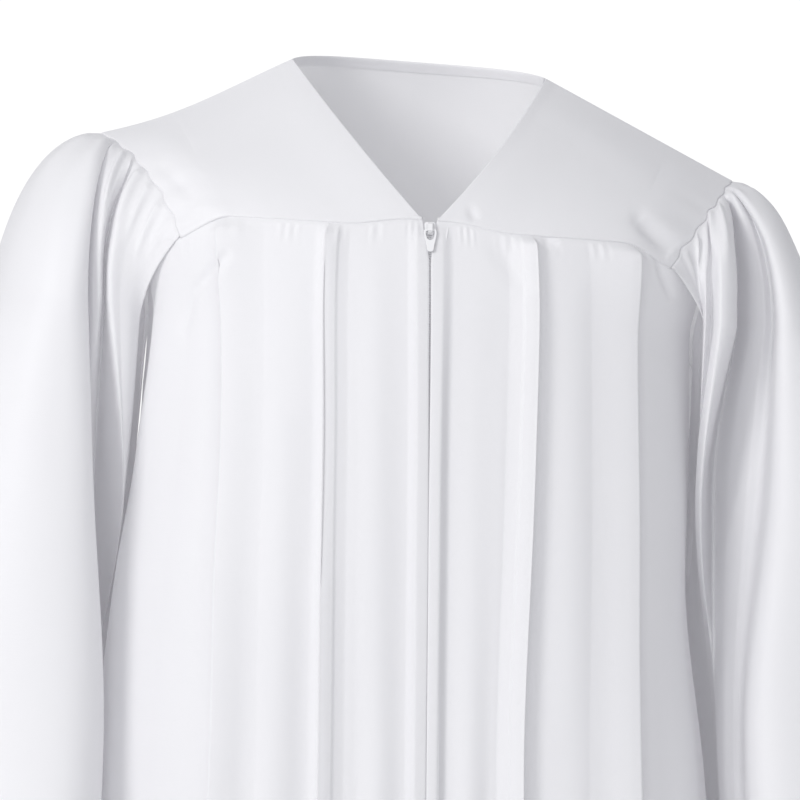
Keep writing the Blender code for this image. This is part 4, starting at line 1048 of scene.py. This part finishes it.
# Camera, light and stage
CAMERA_DEGREES = -3.5
CAMERA_TARGET = (-0.0174, -0.112, -0.2156)
CAMERA_DISTANCE = 2.288
CAMERA_LENS = 166
CAMERA_ROLL_DEGREES = 0.6
SENSOR_WIDTH = 36
FLOOR_Z = -1.42
FLOOR_RADIUS = 5.0
FLOOR_SIDES = 96
AIR_COLOUR = (0.97, 0.98, 1.0, 1.0)
AIR_STRENGTH = 0.61
BACKDROP_COLOUR = (1.0, 1.0, 1.0, 1.0)
BACKDROP_STRENGTH = 1.05
LIGHTS = table(
    "name place target width power colour",
    ("key", (-1.95, -1.95, 0.75), (0, 0, -0.25), 1.0, 38, (1.0, 0.99, 0.98)),
    ("front", (-0.5, -2.6, 0.1), (0, 0, -0.4), 1.0, 12, (1.0, 1.0, 1.0)),
)


def photo_camera():
    turn = math.radians(CAMERA_DEGREES)
    back = Vector((math.sin(turn), -math.cos(turn), 0))
    place = Vector(CAMERA_TARGET) + back * CAMERA_DISTANCE
    data = bpy.data.cameras.new("photo_camera")
    data.sensor_width = SENSOR_WIDTH
    data.lens = CAMERA_LENS
    camera = placed("photo_camera", data)
    facing = (-back).to_track_quat("-Z", "Y").to_matrix().to_4x4()
    roll = Matrix.Rotation(math.radians(CAMERA_ROLL_DEGREES), 4, "Z")
    camera.matrix_world = Matrix.Translation(place) @ facing @ roll
    bpy.context.scene.camera = camera


def soft_light(row):
    data = bpy.data.lights.new(row["name"], "AREA")
    data.shape = "DISK"
    data.size = row["width"]
    data.energy = row["power"]
    data.color = row["colour"]
    light = placed(row["name"], data)
    light.location = row["place"]
    facing = Vector(row["target"]) - Vector(row["place"])
    light.rotation_euler = facing.to_track_quat("-Z", "Y").to_euler()


def studio():
    scene = bpy.context.scene
    scene.view_settings.view_transform = "Standard"
    world = bpy.data.worlds.new("studio")
    scene.world = world
    world.use_nodes = True
    tree = world.node_tree
    air = tree.nodes["Background"]
    air.inputs["Color"].default_value = AIR_COLOUR
    air.inputs["Strength"].default_value = AIR_STRENGTH
    white = tree.nodes.new("ShaderNodeBackground")
    white.inputs["Color"].default_value = BACKDROP_COLOUR
    white.inputs["Strength"].default_value = BACKDROP_STRENGTH
    seen = tree.nodes.new("ShaderNodeLightPath")
    mix = tree.nodes.new("ShaderNodeMixShader")
    tree.links.new(seen.outputs["Is Camera Ray"], mix.inputs["Fac"])
    tree.links.new(air.outputs["Background"], mix.inputs[1])
    tree.links.new(white.outputs["Background"], mix.inputs[2])
    tree.links.new(mix.outputs["Shader"], tree.nodes["World Output"].inputs["Surface"])
    for light in LIGHTS:
        soft_light(light)
    floor = plain_material(FLOOR)
    form = bmesh.new()
    bmesh.ops.create_circle(form, cap_ends=True, segments=FLOOR_SIDES, radius=FLOOR_RADIUS)
    mesh = bpy.data.meshes.new("floor")
    form.to_mesh(mesh)
    form.free()
    mesh.materials.append(floor)
    stage = placed("floor", mesh)
    stage.location.z = FLOOR_Z


def sleeve_piece(side, loop, directions, underarm, cloth, thread):
    """One sleeve, and the stitches above its cuff."""
    name = NAMES[side]
    rows = growing(SLEEVE_ROW_COUNT, SLEEVE_GROWTH)
    tube = sleeve(side, loop, directions, underarm, rows)
    facing = tube_normals(tube)
    cuff = row_above(tube, CUFF_WIDTH)
    line = looped(worn(tube)[cuff])
    stitches(f"cuff_stitches_{name}", line, looped(facing[cuff]), thread)
    tube = rolled(tube, facing, "bottom", CUFF_WIDTH)
    robe_piece(f"sleeve_{name}", worn(tube), cloth, around=True)


def front_piece(side, grid, plain, cloth, thread):
    """One front panel, with its edge turned in at the zip, and the stitches above its hem."""
    name = NAMES[side]
    grid = worn(grid)
    normal = grid_normals(grid, outward=plain)
    grid = creased(grid, normal, FRONT_CREASES, -1)
    normal = grid_normals(grid, outward=plain)
    hem = row_above(grid, HEM_WIDTH)
    stitches(f"hem_stitches_{name}", grid[hem], normal[hem], thread)
    sheet = rolled(grid, normal, "first", FACING_WIDTH)
    full = grid_normals(sheet, outward=FORWARD)
    full[:, len(TURNED_EDGE):] = normal
    sheet = rolled(sheet, full, "bottom", HEM_WIDTH)
    sheet = tucked(sheet, full, "top", TUCK)
    robe_piece(f"front_{name}", sheet, cloth)


def front_yoke_piece(side, yoke, cloth):
    """One front yoke: its neck edge is turned in, and its seam and armhole edges drop over the seams."""
    yoke = worn(yoke)
    normal = grid_normals(yoke, outward=UP + FORWARD)
    yoke = creased(yoke, normal, YOKE_CREASES, -1)
    normal = grid_normals(yoke, outward=UP + FORWARD)
    sheet = rolled(yoke, normal, "first", FACING_WIDTH)
    neck = np.repeat(normal[:, :1], len(TURNED_EDGE), axis=1)
    full = np.concatenate([neck, normal], axis=1)
    sheet = tucked(sheet, full, "bottom", EDGE_DROP)
    drop = np.concatenate([full, full[-1:]])[:, -1:] * EDGE_DROP
    sheet = np.concatenate([sheet, sheet[:, -1:] - drop], axis=1)
    robe_piece(f"front_yoke_{NAMES[side]}", sheet, cloth)


def back_piece(halves, cloth, thread):
    """The back panel, and the stitches above its hem."""
    grid, plain = (
        np.concatenate([halves[-1][k][:, ::-1], halves[1][k][:, 1:]], axis=1) for k in (0, 1)
    )
    grid = worn(grid)
    normal = grid_normals(grid, outward=plain)
    grid = creased(grid, normal, BACK_CREASES, 1)
    normal = grid_normals(grid, outward=plain)
    hem = row_above(grid, HEM_WIDTH)
    stitches("hem_stitches_back", grid[hem], normal[hem], thread)
    sheet = rolled(grid, normal, "bottom", HEM_WIDTH)
    sheet = tucked(sheet, normal, "top", TUCK)
    robe_piece("back", sheet, cloth)


def back_yoke_pieces(yoke, cloth):
    """The back yoke, and the turned edge round the back of the neck."""
    yoke = worn(yoke)
    normal = grid_normals(yoke, outward=UP - FORWARD)
    sheet = tucked(yoke, normal, "bottom", TUCK)
    robe_piece("back_yoke", sheet, cloth)
    neck = np.abs(yoke[0, :, 0]) < NECK_HALF
    first, last = np.flatnonzero(neck)[[0, -1]]
    band = yoke[:, first:last + 1]
    band = rolled(band, normal[:, first:last + 1], "top", FACING_WIDTH)
    on_robe(cloth_piece("back_neck_edge", band[: len(TURNED_EDGE) + 1], cloth))


def zip_pieces(nodes, tape, enamel):
    """The zip's teeth, and the finish and the rounded edges of its solids."""
    teeth = zip_teeth(nodes["zip_chain"], enamel)
    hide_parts("zip_chain")
    on_robe(teeth)
    for name in ("zip_tape_left", "zip_tape_right"):
        nodes[name].material_slots[0].material = tape
    for name in ("zip_slider", "zip_pull"):
        nodes[name].material_slots[0].material = enamel
        rounded = nodes[name].modifiers.new("round_edges", "BEVEL")
        rounded.width = ROUND_EDGE
        rounded.segments = ROUND_SEGMENTS
        rounded.limit_method = "ANGLE"
        rounded.angle_limit = math.radians(ROUND_DEGREES)


def build():
    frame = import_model()
    cloth = cloth_material()
    tape, enamel, thread = (plain_material(finish) for finish in (TAPE, ENAMEL, THREAD))

    columns = panel_columns(90.0, FRONT_CORNER_DEGREES, FRONT_EDGE_DEGREES, PANEL_STEP_DEGREES)
    back_columns = panel_columns(90.0, BACK_CORNER_DEGREES, 0.0, BACK_STEP_DEGREES)
    rows = growing(PANEL_ROWS, PANEL_GROWTH)
    over = columns >= FRONT_CORNER_DEGREES
    back_over = back_columns >= BACK_CORNER_DEGREES
    yoke_b = back_yoke(back_columns, BACK_YOKE_ROWS)
    back_halves = {side: half_panel(side, False, back_columns, rows) for side in NAMES}
    for side in NAMES:
        grid, plain = half_panel(side, True, columns, rows)
        yoke = front_yoke(side, columns, YOKE_ROWS)
        top = grid[0][over], plain[0][over]
        back_top_edge = tuple(part[0][back_over] for part in back_halves[side])
        opening = armhole(side, yoke, top, back_top_edge, yoke_b)
        sleeve_piece(side, *opening, cloth, thread)
        front_piece(side, grid, plain, cloth, thread)
        front_yoke_piece(side, yoke[0], cloth)
    back_piece(back_halves, cloth, thread)
    back_yoke_pieces(yoke_b[0], cloth)
    zip_pieces(frame["nodes"], tape, enamel)

    photo_camera()
    studio()


build()
